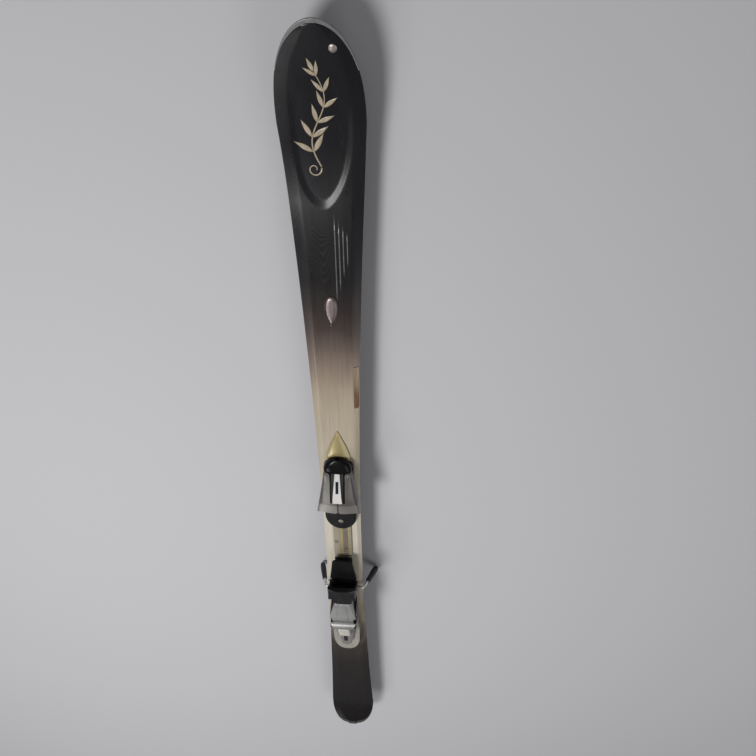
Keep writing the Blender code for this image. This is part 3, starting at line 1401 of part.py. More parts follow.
def heel_lever():
    """The silver V-shaped lever behind the body."""
    rear, drop = LEVER_REAR_X, LEVER_THICKNESS
    outline = arc(LEVER_AXLE, LEVER_HUB_RADIUS, 90, -80, 14)
    outline += [(LEVER_AXLE_X - 0.009, LEVER_AXLE_Z - 0.0085)]
    for x, depth in ((LEVER_AXLE_X - 0.018, 1.3 * drop), (rear + 0.010, drop), (rear, drop), (rear, 0.0)):
        outline.append((x, lever_top(x) - depth))
    silver = paint("heel_silver", (0.56, 0.56, 0.57), 0.33, 0.7)
    made = prism_across("heel_lever", outline, -LEVER_FRONT_HALF, LEVER_FRONT_HALF, silver)
    v_front = LEVER_AXLE_X + LEVER_HUB_RADIUS
    plan = [(v_front + 0.01, LEVER_FRONT_HALF), (v_front, LEVER_FRONT_HALF)]
    plan += [(LEVER_MIDDLE_X, LEVER_MIDDLE_HALF), (rear, LEVER_REAR_HALF)]
    plan += [(x, -y) for x, y in reversed(plan)]
    keep_inside(made, prism_up("lever_plan", plan, 0.03, 0.09))
    reach = KNUCKLE_RADIUS + KNUCKLE_CLEARANCE
    space = arc(LEVER_AXLE, reach, 180, 35, 10)
    space += [(LEVER_AXLE_X + 0.03, LEVER_AXLE_Z + 0.010), (LEVER_AXLE_X + 0.03, 0.02)]
    space += [(LEVER_AXLE_X - reach - 0.004, 0.02)]
    for name, side in (("left", 1), ("right", -1)):
        right, left = sorted((side * (FRAME_CHEEK_INNER - GAP), side * 0.05))
        cut(made, prism_across(f"lever_clearance_{name}", space, right, left))
    cut(made, axle_bore("lever_bore", LEVER_AXLE, AXLE_RADIUS + GAP))
    half = LEVER_PANEL_HALF + GAP
    sink = LEVER_PANEL_SINK + GAP
    seat = window_outline(LEVER_PANEL_REAR - GAP, LEVER_PANEL_FRONT + GAP, lever_top, sink, -0.01)
    cut(made, prism_across("lever_panel_seat", seat, -half, half))
    put_origin(made, (LEVER_AXLE_X, 0.0, LEVER_AXLE_Z))


def lever_panel():
    outline = window_outline(LEVER_PANEL_REAR, LEVER_PANEL_FRONT, lever_top, LEVER_PANEL_SINK, -0.0005)
    cream = paint("panel_cream", (0.72, 0.66, 0.54), 0.35)
    made = prism_across("lever_panel", outline, -LEVER_PANEL_HALF, LEVER_PANEL_HALF, cream)
    put_origin(made, (LEVER_AXLE_X, 0.0, LEVER_AXLE_Z))


def cover_top(x):
    return between(COVER_FRONT_TOP, COVER_REAR_TOP, (COVER_FRONT - x) / (COVER_FRONT - COVER_REAR))


def heel_cover():
    """The rear housing of the release spring, narrowing towards its screw."""
    low = TRACK_TOP + GAP
    rings = []
    for x in (COVER_FRONT, between(COVER_FRONT, COVER_REAR, 0.6), COVER_REAR):
        half = between(COVER_FRONT_HALF, COVER_REAR_HALF, (COVER_FRONT - x) / (COVER_FRONT - COVER_REAR))
        top = cover_top(x)
        side = [(half, low), (half, top - COVER_CHAMFER), (half - COVER_CHAMFER, top)]
        rings.append([(x, y, z) for y, z in side] + [(x, -y, z) for y, z in reversed(side)])
    made = loft("heel_cover", rings, paint("cover_grey", (0.40, 0.40, 0.41), 0.35, 0.6))
    half = HEEL_WINDOW_HALF + GAP
    depth = CHANNEL_DEPTH + PANEL_DEPTH
    outline = window_outline(HEEL_WINDOW_REAR, HEEL_WINDOW_FRONT, cover_top, depth, -0.02)
    cut(made, prism_across("heel_indicator_channel", outline, -half, half))
    bore_start, bore_end = (COVER_REAR - 0.01, 0, HEEL_SCREW_Z), (COVER_REAR + 0.020, 0, HEEL_SCREW_Z)
    cut(made, rod("heel_screw_bore", bore_start, bore_end, SETTING_SHANK_RADIUS + GAP))


def heel_window():
    rear, front = HEEL_WINDOW_REAR + GAP, HEEL_WINDOW_FRONT - GAP
    outline = window_outline(rear, front, cover_top, PANEL_DEPTH, 0.0)
    half = HEEL_WINDOW_HALF
    prism_across("heel_window", outline, -half, half, paint("window_black", (0.01, 0.01, 0.012), 0.1))


def heel_indicator():
    """It starts at the front end of its travel."""
    rear = HEEL_WINDOW_FRONT - 0.004 - INDICATOR_LENGTH
    deep = CHANNEL_DEPTH + PANEL_DEPTH - GAP
    half = HEEL_WINDOW_HALF - GAP
    indicator("heel_indicator", rear, cover_top, deep, PANEL_DEPTH + 0.0012, half)


def heel_setting_screw():
    head_length = 0.0055
    face = (COVER_REAR - GAP - head_length, 0.0, HEEL_SCREW_Z)
    slotted_screw("heel_setting_screw", face, -1, HEEL_SCREW_RADIUS, head_length, 0.0180)


def length_screw():
    """The worm that moves the carriage along the rack; its head shows behind the carriage."""
    face = TRACK_REAR - WORM_HEAD_LENGTH - GAP
    root, crest = WORM_CORE_RADIUS, WORM_RADIUS
    profile = [(0.0, crest - 0.0004), (0.0004, crest), (WORM_HEAD_LENGTH, crest), (WORM_HEAD_LENGTH, root)]
    x = TRACK_WALL + 0.0075
    end = WORM_FRONT - face
    while x + WORM_LEAD < end:
        for along, radius in ((0.0, root), (0.3, crest), (0.5, crest), (0.8, root)):
            profile.append((x + along * WORM_LEAD, radius))
        x += WORM_LEAD
    profile.append((end, root))
    steel = paint("setting_steel", (0.55, 0.55, 0.57), 0.3, 1.0)
    made = turned("length_screw", (face, RACK_Y, LENGTH_SCREW_Z), (1, 0, 0), profile, steel, 16)
    half = SCREW_SLOT_WIDTH / 2
    low, high = (face - 0.01, RACK_Y - half, 0.01), (face + 0.0012, RACK_Y + half, 0.04)
    cut(made, block("length_screw_slot", low, high))


def heel_group():
    heel_track()
    heel_frame()
    axle("heel_axle", BODY_AXLE)
    axle("lever_axle", LEVER_AXLE)
    heel_body()
    heel_cup()
    heel_lever()
    lever_panel()
    heel_cover()
    heel_window()
    heel_indicator()
    heel_setting_screw()
    length_screw()


# The ski brake
class ArmPath:
    """One brake arm: its bend, its end, and the axis that swings it from down to back."""

    def __init__(self, side):
        self.bend = Vector((BRAKE_AXIS_X, side * WIRE_BEND_Y, BRAKE_AXIS_Z))
        end = Vector((ARM_END_X, side * ARM_END_Y, ARM_END_Z))
        self.length = (end - self.bend).length
        self.down = (end - self.bend).normalized()
        stowed = Vector((-1.0, 0.0, STOWED_SLOPE)).normalized()
        self.axis = self.down.cross(stowed).normalized()
        self.inward = -side * self.axis
        self.inner_end = self.bend + self.inward * ((WIRE_BEND_Y - WIRE_INNER_Y) / abs(self.axis.y))

    def along(self, distance):
        return self.bend + self.down * distance


def brake_bracket():
    low = CARRIAGE_BOTTOM
    top = low + BRACKET_THICKNESS
    half = BRACKET_HALF_WIDTH
    grey = paint("bracket_grey", (0.10, 0.10, 0.11), 0.45)
    made = block("brake_bracket", (BRACKET_REAR, -half, low), (BRACKET_FRONT, half, top), grey)
    yoke_front = BRACKET_REAR + LUG_LENGTH
    inset, overlap = 0.0004, 0.001
    yoke_low = (BRACKET_REAR + inset, -LUG_INNER - overlap, low + inset)
    yoke_high = (yoke_front - inset, LUG_INNER + overlap, top - inset)
    fuse(made, block("bracket_yoke", yoke_low, yoke_high))
    for name, side in (("left", 1), ("right", -1)):
        right, left = sorted((side * LUG_INNER, side * LUG_OUTER))
        fuse(made, block(f"lug_{name}", (BRACKET_REAR, right, LUG_BOTTOM), (yoke_front, left, LUG_TOP)))
        path = ArmPath(side)
        bore_end = path.inner_end + path.inward * 0.0010
        cut(made, rod(f"wire_bore_{name}", path.bend, bore_end, WIRE_RADIUS + GAP, steps=20))
    reach = LUG_INNER + 0.0012
    start, end = (BRAKE_AXIS_X, -reach, BRAKE_AXIS_Z), (BRAKE_AXIS_X, reach, BRAKE_AXIS_Z)
    cut(made, rod("brake_axle_bore", start, end, BRAKE_AXLE_RADIUS + GAP, steps=18))


def brake_axle():
    reach = 2 * (LUG_INNER + 0.0009)
    profile = [(0.0, BRAKE_AXLE_RADIUS), (reach, BRAKE_AXLE_RADIUS)]
    start = (BRAKE_AXIS_X, -reach / 2, BRAKE_AXIS_Z)
    steel = paint("pin_steel", (0.6, 0.6, 0.62), 0.3, 1.0)
    smooth(turned("brake_axle", start, (0, 1, 0), profile, steel, 16))


def pedal_half(x):
    share = (x - PEDAL_REAR_X) / (PEDAL_FRONT_X - PEDAL_REAR_X)
    return between(PEDAL_REAR_HALF, PEDAL_FRONT_HALF, share)


def brake_pedal():
    """The foot plate with its ribs and two link arms, drawn flat and then raised by its tilt."""
    low = BRAKE_AXIS_Z + PEDAL_LIFT
    top = low + PEDAL_THICKNESS
    corner = PEDAL_CORNER
    side = [
        (PEDAL_REAR_X, PEDAL_REAR_HALF - corner),
        (PEDAL_REAR_X + corner, pedal_half(PEDAL_REAR_X + corner)),
        (PEDAL_FRONT_X - corner, pedal_half(PEDAL_FRONT_X - corner)),
        (PEDAL_FRONT_X, PEDAL_FRONT_HALF - corner),
    ]
    outline = side + [(x, -y) for x, y in reversed(side)]
    made = prism_up("brake_pedal", outline, low, top, paint("pedal_black", (0.02, 0.02, 0.022), 0.38))
    added = []
    for i, x in enumerate(PEDAL_RIB_XS):
        half, reach = pedal_half(x) - corner, PEDAL_RIB_WIDTH / 2
        rib_low, rib_high = (x - reach, -half, top - 0.0005), (x + reach, half, top + PEDAL_RIB_HEIGHT)
        added.append(block(f"pedal_rib_{i}", rib_low, rib_high))
    axis = (BRAKE_AXIS_X, BRAKE_AXIS_Z)
    front = PEDAL_REAR_X + 0.012
    link = arc(axis, PEDAL_HUB_RADIUS, 60, 300, 14)
    link += [(front, BRAKE_AXIS_Z - 0.0012), (front, low + 0.0008), (PEDAL_REAR_X, low - 0.0004)]
    bore = arc(axis, BRAKE_AXLE_RADIUS + GAP, 0, 337.5, 15)
    for name, sign in (("left", 1), ("right", -1)):
        right, left = sorted((sign * PEDAL_ARM_INNER, sign * PEDAL_ARM_OUTER))
        added.append(prism_across(f"pedal_link_{name}", link, right, left, holes=[bore]))
    fuse(made, *added)
    for piece in [made] + added:
        put_origin(piece, (BRAKE_AXIS_X, 0.0, BRAKE_AXIS_Z))
        piece.rotation_euler = (0.0, -math.radians(PEDAL_TILT), 0.0)


def brake_arm(name, side):
    """A bent wire: a short run on the swing axis, a bend, and the long arm."""
    path = ArmPath(side)
    first = path.bend + path.inward * WIRE_BEND_RADIUS
    last = path.along(WIRE_BEND_RADIUS)
    points = [path.inner_end]
    for i in range(6):
        t = i / 5
        points.append(first * (1 - t) ** 2 + path.bend * 2 * t * (1 - t) + last * t**2)
    points.append(path.along(path.length - ARM_TIP_LENGTH + WIRE_INTO_TIP))
    curve = bpy.data.curves.new(name, "CURVE")
    curve.dimensions = "3D"
    curve.bevel_depth = WIRE_RADIUS
    curve.bevel_resolution = 2
    curve.use_fill_caps = True
    spline = curve.splines.new("POLY")
    spline.points.add(len(points) - 1)
    for point, place in zip(spline.points, points):
        point.co = (*place, 1.0)
    steel = paint("wire_steel", (0.62, 0.60, 0.56), 0.3, 1.0)
    made = mesh_from_curve(name, curve, Matrix.Identity(4), steel)
    smooth(made)
    put_origin(made, path.bend)


def brake_tip(name, side):
    """The plastic paddle moulded on the end of a wire."""
    path = ArmPath(side)
    start = path.length - ARM_TIP_LENGTH
    wide = Vector((0.0, 1.0, 0.0)).cross(path.down).normalized()
    thick = path.down.cross(wide).normalized()
    steps = 14
    rings = []
    # Share of the length from the wire, then the shares of the full width and thickness there.
    swell = ((0.0, 0.62, 0.74), (0.06, 0.72, 0.86), (0.35, 0.80, 0.92), (0.55, 1.0, 1.0))
    swell += ((0.86, 1.0, 0.98), (0.97, 0.78, 0.80), (1.0, 0.50, 0.55))
    for share, width, depth in swell:
        centre = path.along(start + share * ARM_TIP_LENGTH)
        ring = []
        for i in range(steps):
            angle = 2 * math.pi * i / steps
            u = math.copysign(abs(math.cos(angle)) ** 0.7, math.cos(angle)) * width * ARM_TIP_WIDTH / 2
            v = math.copysign(abs(math.sin(angle)) ** 0.7, math.sin(angle)) * depth * ARM_TIP_THICKNESS / 2
            ring.append(centre + wide * u + thick * v)
        rings.append(ring)
    made = loft(name, rings, paint("tip_black", (0.018, 0.018, 0.02), 0.4))
    foot, head = path.along(start - 0.005), path.along(start + WIRE_INTO_TIP + GAP)
    cut(made, rod(f"{name}_bore", foot, head, WIRE_RADIUS + GAP, steps=16))
    smooth(made)
    put_origin(made, path.bend)


def brake_group():
    brake_bracket()
    brake_axle()
    brake_pedal()
    brake_arm("brake_arm_left", 1)
    brake_arm("brake_arm_right", -1)
    brake_tip("brake_tip_left", 1)
    brake_tip("brake_tip_right", -1)


clear_scene()
ski_body()
rail_group()
toe_group()
heel_group()
brake_group()
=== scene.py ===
# The looks of a carving ski with its binding and brake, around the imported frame, in metres.

import json
import math

import bmesh
import bpy
from mathutils import Matrix, Vector

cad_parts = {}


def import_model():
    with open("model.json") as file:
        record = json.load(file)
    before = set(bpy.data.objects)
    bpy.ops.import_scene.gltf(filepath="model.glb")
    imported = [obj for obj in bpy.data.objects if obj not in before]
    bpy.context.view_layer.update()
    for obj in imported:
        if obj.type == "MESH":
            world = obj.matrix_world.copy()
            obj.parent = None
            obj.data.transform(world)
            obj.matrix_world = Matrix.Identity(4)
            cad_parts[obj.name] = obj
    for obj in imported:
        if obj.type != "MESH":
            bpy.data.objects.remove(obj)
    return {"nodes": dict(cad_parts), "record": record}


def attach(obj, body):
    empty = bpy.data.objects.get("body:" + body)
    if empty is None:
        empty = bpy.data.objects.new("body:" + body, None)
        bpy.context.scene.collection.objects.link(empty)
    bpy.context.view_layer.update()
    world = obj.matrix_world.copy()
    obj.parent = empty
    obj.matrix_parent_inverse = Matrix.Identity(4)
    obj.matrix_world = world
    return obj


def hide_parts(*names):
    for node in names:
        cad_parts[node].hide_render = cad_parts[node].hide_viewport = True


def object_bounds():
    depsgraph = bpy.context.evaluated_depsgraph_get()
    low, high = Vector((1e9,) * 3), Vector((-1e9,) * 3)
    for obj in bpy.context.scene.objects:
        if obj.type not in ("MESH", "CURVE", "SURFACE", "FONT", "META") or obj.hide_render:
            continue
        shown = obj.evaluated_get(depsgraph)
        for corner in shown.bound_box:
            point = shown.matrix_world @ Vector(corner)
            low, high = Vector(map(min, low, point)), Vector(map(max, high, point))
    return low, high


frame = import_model()
cad_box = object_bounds()

# The camera, found from the ski's outline in the photograph
CAMERA_PLACE = (1.0981, -0.1660, 0.9663)
CAMERA_RIGHT = (-0.00778, -0.99598, -0.08920)
CAMERA_UP = (0.80905, 0.04616, -0.58593)
CAMERA_BACK = (0.58769, -0.07672, 0.80544)
FOCAL_PIXELS = 700.0
PHOTO_PIXELS = 756.0
SENSOR_WIDTH = 36.0

# The stage and the lamps
FLOOR_DROP = 0.004
FLOOR_SIZE = 14.0
FLOOR_COLOUR = (0.472, 0.467, 0.484)
WORLD_COLOUR = (1.0, 1.0, 1.02)
WORLD_STRENGTH = 0.16

# Each lamp's place, the point it faces, its two widths and its power in watts
LAMPS = {
    "key_lamp": ((0.34, 0.84, 2.25), (0.0, 0.0, 0.0), (0.8, 0.7), 39.5),
    "front_lamp": ((2.3, 0.10, 2.1), (0.0, 0.0, 0.0), (1.4, 1.1), 2.5),
    "side_lamp": ((-1.45, 1.30, 2.0), (-0.5, 0.0, 0.0), (1.2, 1.0), 18.0),
    "right_lamp": ((-0.50, -1.35, 2.10), (-0.10, -0.1, 0.0), (1.9, 1.5), 12.0),
}

# The ski's form
SKI_LENGTH = 1.680
SHOVEL_WIDTH = 0.1245
WAIST_WIDTH = 0.0745
TAIL_WIDTH = 0.105
TAIL_TO_BOOT_CENTRE = 0.726
SHOVEL_FROM_TIP = 0.135
WIDE_TAIL_FROM_END = 0.079
TIP_ROUNDNESS = 2.42
TAIL_ROUNDNESS = 3.0
TIP_BLUNTNESS = 2.0
TAIL_BLUNTNESS = 2.7
CAMBER = 0.0085
FLAT_HALF_LENGTH = 0.060
TIP_RISE = 0.049
TIP_RISE_LENGTH = 0.250
TAIL_KICK = 0.024
TAIL_KICK_LENGTH = 0.072
TIP_THICKNESS = 0.0042
TAIL_THICKNESS = 0.0060
PLATFORM_TOP = 0.0125
PLATFORM_FRONT = 0.225
PLATFORM_REAR = -0.362
SKIN = 0.0008
SIDE_SHARE = 0.50
LEAST_SIDE = 0.0034
RIM = 0.006
HORN_SHARE = 0.55
GAP = 0.0003

# The basin in the shovel
BASIN_DEPTH = 0.0014
BASIN_REAR_FROM_TIP = 0.260
BASIN_ROUND_LENGTH = 0.130
BASIN_HALF_WIDTH = 0.0440
BASIN_WALL_SHARE = 0.26
BASIN_SKEW = 0.40
BASIN_FADE_FROM_TIP = 0.186
BASIN_FADE_LENGTH = 0.100

# Places that follow from the form
TIP_X = SKI_LENGTH - TAIL_TO_BOOT_CENTRE
TAIL_X = -TAIL_TO_BOOT_CENTRE
SHOVEL_X = TIP_X - SHOVEL_FROM_TIP
WIDE_TAIL_X = TAIL_X + WIDE_TAIL_FROM_END
FRONT_CONTACT_X = TIP_X - TIP_RISE_LENGTH
REAR_CONTACT_X = TAIL_X + TAIL_KICK_LENGTH
LAYER_TIP = TIP_X - RIM - 2 * GAP
LAYER_TAIL = TAIL_X + RIM + 2 * GAP
BASIN_REAR = TIP_X - BASIN_REAR_FROM_TIP
BASIN_FADE_X = TIP_X - BASIN_FADE_FROM_TIP

# The mesh of the topsheet
FINE_STEP = 0.0016
COARSE_STEP = 0.0060
FINE_REAR = 0.680
FINE_FRONT = 0.925
COLUMNS = 44
CREASE = 0.0005
RIM_STEPS = 48

# Fine lines like wood grain in the lacquer: how close they lie, and where they come in and fade
GRAIN_RINGS = 760.0
GRAIN_COMES_IN = (0.50, 0.60)
GRAIN_FADES = (0.76, 0.86)

# Where the lips of the toe wings begin
WING_LIP_X = 0.1245

# Edges that fold more than this are sharp
SHARP_ANGLE = math.radians(32)

# Nodes with soft edges, and how far each edge is rounded
SOFT_EDGES = {
    "brake_pedal": 0.0012,
    "heel_cup": 0.0012,
    "heel_body": 0.0010,
    "heel_lever": 0.0009,
    "lever_panel": 0.0003,
    "heel_cover": 0.0009,
    "heel_frame": 0.0008,
    "heel_track": 0.0008,
    "toe_wing_left": 0.0010,
    "toe_wing_right": 0.0010,
    "toe_housing": 0.0006,
    "toe_panel": 0.0004,
    "toe_base": 0.0008,
    "toe_glide": 0.0006,
    "toe_glide_base": 0.0005,
    "front_ramp": 0.0006,
}

# The ornament
PRINT_LIFT = 0.00007
PRINT_THICKNESS = 0.00005
LEAF_POINTS = 12
SPRAY_REAR = 0.757
SPRAY_FRONT = 0.888
SPRAY_BOW = 0.011
SPRAY_PAIRS = 6
STEM_WIDTH = 0.0019
LINE_STEPS = 40
TENDRIL_MIDDLE = (SPRAY_REAR - 0.004, 0.0142)
TENDRIL_RADIUS = 0.0105
TENDRIL_START = -76
TENDRIL_TURN = 400
TENDRIL_CURL = 0.72
STRIPE_STEP = 0.010
STRIPE_FRONT = 0.690
STRIPE_Y = -0.0105
STRIPE_RUNS = (0.150, 0.120, 0.086, 0.058)
STRIPE_PITCH = 0.0062
STRIPE_WIDTH = 0.0016
BASE_STRIPE_FRONT = 0.560
BASE_STRIPE_Y = -0.014
BASE_STRIPE_RUNS = (0.300, 0.240, 0.180, 0.120)
BASE_STRIPE_PITCH = 0.0095
BASE_STRIPE_WIDTH = 0.0034
BASE_LEAF_PLACE = (0.585, -0.004)
BASE_LEAF_LENGTH = 0.046
BASE_LEAF_WIDTH = 0.016


def ease(share):
    """A smooth step from 0 to 1."""
    share = min(1.0, max(0.0, share))
    return share * share * (3 - 2 * share)


def between(start, end, share):
    return start + (end - start) * share


# The ski's form
def end_share(out, length, roundness, bluntness):
    """Share of the full width left at a distance out along a rounded end of that length."""
    share = min(1.0, out / length)
    return (1 - share**roundness) ** (1 / bluntness)


def half_width(x):
    """Half the width of the ski at x."""
    if x > SHOVEL_X:
        return SHOVEL_WIDTH / 2 * end_share(x - SHOVEL_X, SHOVEL_FROM_TIP, TIP_ROUNDNESS, TIP_BLUNTNESS)
    if x < WIDE_TAIL_X:
        out = WIDE_TAIL_X - x
        return TAIL_WIDTH / 2 * end_share(out, WIDE_TAIL_FROM_END, TAIL_ROUNDNESS, TAIL_BLUNTNESS)
    widest, far = (SHOVEL_WIDTH, SHOVEL_X) if x > 0 else (TAIL_WIDTH, WIDE_TAIL_X)
    return WAIST_WIDTH / 2 + (widest - WAIST_WIDTH) / 2 * (x / far) ** 2


def horn_place(widest_x, end_length):
    """Where the horns of a rim band begin."""
    step = 1.0 if widest_x > 0 else -1.0
    return widest_x + step * ((end_length - RIM) * HORN_SHARE - GAP)


def layer_half_width(x):
    """Half the width of the layers, which stop short of the rim bands."""
    if x > horn_place(SHOVEL_X, SHOVEL_FROM_TIP):
        length = SHOVEL_FROM_TIP - RIM - GAP
        return (SHOVEL_WIDTH / 2 - GAP) * end_share(x - SHOVEL_X, length, TIP_ROUNDNESS, TIP_BLUNTNESS)
    if x < horn_place(WIDE_TAIL_X, WIDE_TAIL_FROM_END):
        length = WIDE_TAIL_FROM_END - RIM - GAP
        return (TAIL_WIDTH / 2 - GAP) * end_share(WIDE_TAIL_X - x, length, TAIL_ROUNDNESS, TAIL_BLUNTNESS)
    return half_width(x)


def base_z(x):
    """Height of the sliding face at x, zero on the flat under the boot."""
    out = abs(x) - FLAT_HALF_LENGTH
    if out <= 0:
        return 0.0
    contact, rise, length = REAR_CONTACT_X, TAIL_KICK, TAIL_KICK_LENGTH
    if x > 0:
        contact, rise, length = FRONT_CONTACT_X, TIP_RISE, TIP_RISE_LENGTH
    span = abs(contact) - FLAT_HALF_LENGTH
    past = abs(x) - abs(contact)
    if past <= 0:
        return -CAMBER * (out / span) ** 2
    return -CAMBER - 2 * CAMBER / span * past + rise * (past / length) ** 2


def thickness(x):
    """Thickness of the ski on its centre line; its top is level under the rail."""
    if x > PLATFORM_FRONT:
        share = (x - PLATFORM_FRONT) / (TIP_X - PLATFORM_FRONT)
        return between(PLATFORM_TOP - base_z(PLATFORM_FRONT), TIP_THICKNESS, math.sin(share * math.pi / 2))
    if x < PLATFORM_REAR:
        share = (PLATFORM_REAR - x) / (PLATFORM_REAR - TAIL_X)
        return between(PLATFORM_TOP - base_z(PLATFORM_REAR), TAIL_THICKNESS, math.sin(share * math.pi / 2))
    return PLATFORM_TOP - base_z(x)


def slope_width(x, half):
    wide = between(0.0085, 0.0175, ease((abs(x) - 0.20) / 0.45))
    return min(wide, 0.45 * half)


def shoulder(x):
    """Where the flat of the topsheet ends and its sloping side begins."""
    outer = half_width(x) - slope_width(x, half_width(x))
    inner = layer_half_width(x) - slope_width(x, layer_half_width(x))
    widest, length = (SHOVEL_X, SHOVEL_FROM_TIP) if x > 0 else (WIDE_TAIL_X, WIDE_TAIL_FROM_END)
    past = abs(x) - abs(horn_place(widest, length))
    return between(outer, inner, ease(past / 0.030))


def basin_depth(x, y):
    """Depth of the shallow basin: a skewed round wall behind, and a floor that runs out in front."""
    along = min(1.0, (x + BASIN_SKEW * y - BASIN_REAR) / BASIN_ROUND_LENGTH)
    if along <= 0:
        return 0.0
    inside = 1 - (abs(y) / BASIN_HALF_WIDTH) ** 1.67 - (1 - along) ** 2.6
    fade = 1 - ease((x - BASIN_FADE_X) / BASIN_FADE_LENGTH)
    share = min(1.0, max(0.0, inside / BASIN_WALL_SHARE))
    return BASIN_DEPTH * fade * between(ease(share), share, 0.75)


def cap_z(x, y):
    """Height of the topsheet's outer face."""
    full = thickness(x)
    side = max(SIDE_SHARE * full, min(LEAST_SIDE, 0.85 * full))
    edge, crest = layer_half_width(x), shoulder(x)
    past = abs(y) - crest
    height = full
    if past > 0 and edge > crest:
        height = between(full, side, min(1.0, past / (edge - crest)))
    return base_z(x) + height - basin_depth(x, y)


# Material helpers
class Finish:
    """A material being built round one Principled shader, with its nodes placed by short calls."""

    def __init__(self, name, colour, roughness, metallic=0.0, coat=0.0, coat_roughness=0.1, specular=0.5):
        self.material = bpy.data.materials.new(name)
        self.material.use_nodes = True
        self.tree = self.material.node_tree
        self.shader = self.tree.nodes["Principled BSDF"]
        self.shader.inputs["Base Color"].default_value = (*colour, 1.0)
        self.shader.inputs["Roughness"].default_value = roughness
        self.shader.inputs["Metallic"].default_value = metallic
        self.shader.inputs["Coat Weight"].default_value = coat
        self.shader.inputs["Coat Roughness"].default_value = coat_roughness
        self.shader.inputs["Specular IOR Level"].default_value = specular
        self.heights = []

    def node(self, kind, **settings):
        made = self.tree.nodes.new(kind)
        for key, value in settings.items():
            setattr(made, key, value)
        return made

    def put(self, value, socket):
        """A number, a colour or another node's output into a socket."""
        if isinstance(value, bpy.types.NodeSocket):
            self.tree.links.new(value, socket)
        elif isinstance(value, tuple) and len(value) == 3 and socket.type == "RGBA":
            socket.default_value = (*value, 1.0)
        else:
            socket.default_value = value

    def place(self, stretch=(1.0, 1.0, 1.0)):
        """Places in the ski's own frame, in metres, stretched along its axes."""
        coords = self.node("ShaderNodeTexCoord")
        mapping = self.node("ShaderNodeMapping")
        mapping.inputs["Scale"].default_value = stretch
        self.tree.links.new(coords.outputs["Object"], mapping.inputs["Vector"])
        return mapping.outputs["Vector"]

    def axis(self, letter):
        """One coordinate of the place."""
        split = self.node("ShaderNodeSeparateXYZ")
        self.tree.links.new(self.place(), split.inputs[0])
        return split.outputs[letter]

    def math(self, operation, first, second=0.0, third=0.0):
        step = self.node("ShaderNodeMath", operation=operation)
        for value, socket in zip((first, second, third), step.inputs):
            self.put(value, socket)
        return step.outputs[0]

    def noise(self, scale, stretch=(1.0, 1.0, 1.0), detail=3.0, roughness=0.5):
        step = self.node("ShaderNodeTexNoise")
        step.inputs["Scale"].default_value = scale
        step.inputs["Detail"].default_value = detail
        step.inputs["Roughness"].default_value = roughness
        self.tree.links.new(self.place(stretch), step.inputs["Vector"])
        return step.outputs["Fac"]

    def cells(self, scale, stretch=(1.0, 1.0, 1.0)):
        step = self.node("ShaderNodeTexVoronoi")
        step.inputs["Scale"].default_value = scale
        self.tree.links.new(self.place(stretch), step.inputs["Vector"])
        return step.outputs["Distance"]

    def span(self, value, low, high, start=0.0, end=1.0):
        """Maps low..high to start..end, held at the ends."""
        step = self.node("ShaderNodeMapRange")
        self.put(value, step.inputs["Value"])
        for name, number in (("From Min", low), ("From Max", high), ("To Min", start), ("To Max", end)):
            step.inputs[name].default_value = number
        return step.outputs["Result"]

    def ramp(self, value, stops):
        """A run of colours over 0..1."""
        step = self.node("ShaderNodeValToRGB")
        line = step.color_ramp
        while len(line.elements) < len(stops):
            line.elements.new(0.5)
        for element, (place, colour) in zip(line.elements, stops):
            element.position = place
            element.color = (*colour, 1.0)
        self.put(value, step.inputs["Fac"])
        return step.outputs["Color"]

    def mix(self, share, first, second, blend="MIX"):
        step = self.node("ShaderNodeMix", data_type="RGBA", blend_type=blend)
        self.put(share, step.inputs[0])
        self.put(first, step.inputs[6])
        self.put(second, step.inputs[7])
        return step.outputs[2]

    def colour(self, value):
        self.put(value, self.shader.inputs["Base Color"])

    def roughness(self, value):
        self.put(value, self.shader.inputs["Roughness"])

    def height(self, value, depth):
        """Adds fine relief: value 0..1 over that depth in metres."""
        step = self.node("ShaderNodeBump")
        step.inputs["Strength"].default_value = 1.0
        step.inputs["Distance"].default_value = depth
        self.put(value, step.inputs["Height"])
        if self.heights:
            self.tree.links.new(self.heights[-1], step.inputs["Normal"])
        self.heights.append(step.outputs["Normal"])
        self.tree.links.new(step.outputs["Normal"], self.shader.inputs["Normal"])


# Surfaces of the ski
def topsheet_colours():
    """The fade along the ski: x, and the colour there."""
    return (
        (TAIL_X, (0.010, 0.009, 0.009)),
        (-0.450, (0.022, 0.0195, 0.0185)),
        (-0.370, (0.040, 0.034, 0.030)),
        (-0.300, (0.19, 0.160, 0.128)),
        (-0.220, (0.42, 0.370, 0.292)),
        (-0.120, (0.50, 0.46, 0.37)),
        (-0.010, (0.505, 0.465, 0.387)),
        (0.100, (0.51, 0.468, 0.385)),
        (0.225, (0.40, 0.350, 0.270)),
        (0.325, (0.365, 0.308, 0.235)),
        (0.367, (0.315, 0.260, 0.198)),
        (0.411, (0.205, 0.160, 0.128)),
        (0.451, (0.115, 0.088, 0.075)),
        (0.490, (0.055, 0.041, 0.036)),
        (0.527, (0.030, 0.024, 0.022)),
        (0.580, (0.0120, 0.0110, 0.0118)),
        (TIP_X, (0.0075, 0.0075, 0.0090)),
    )


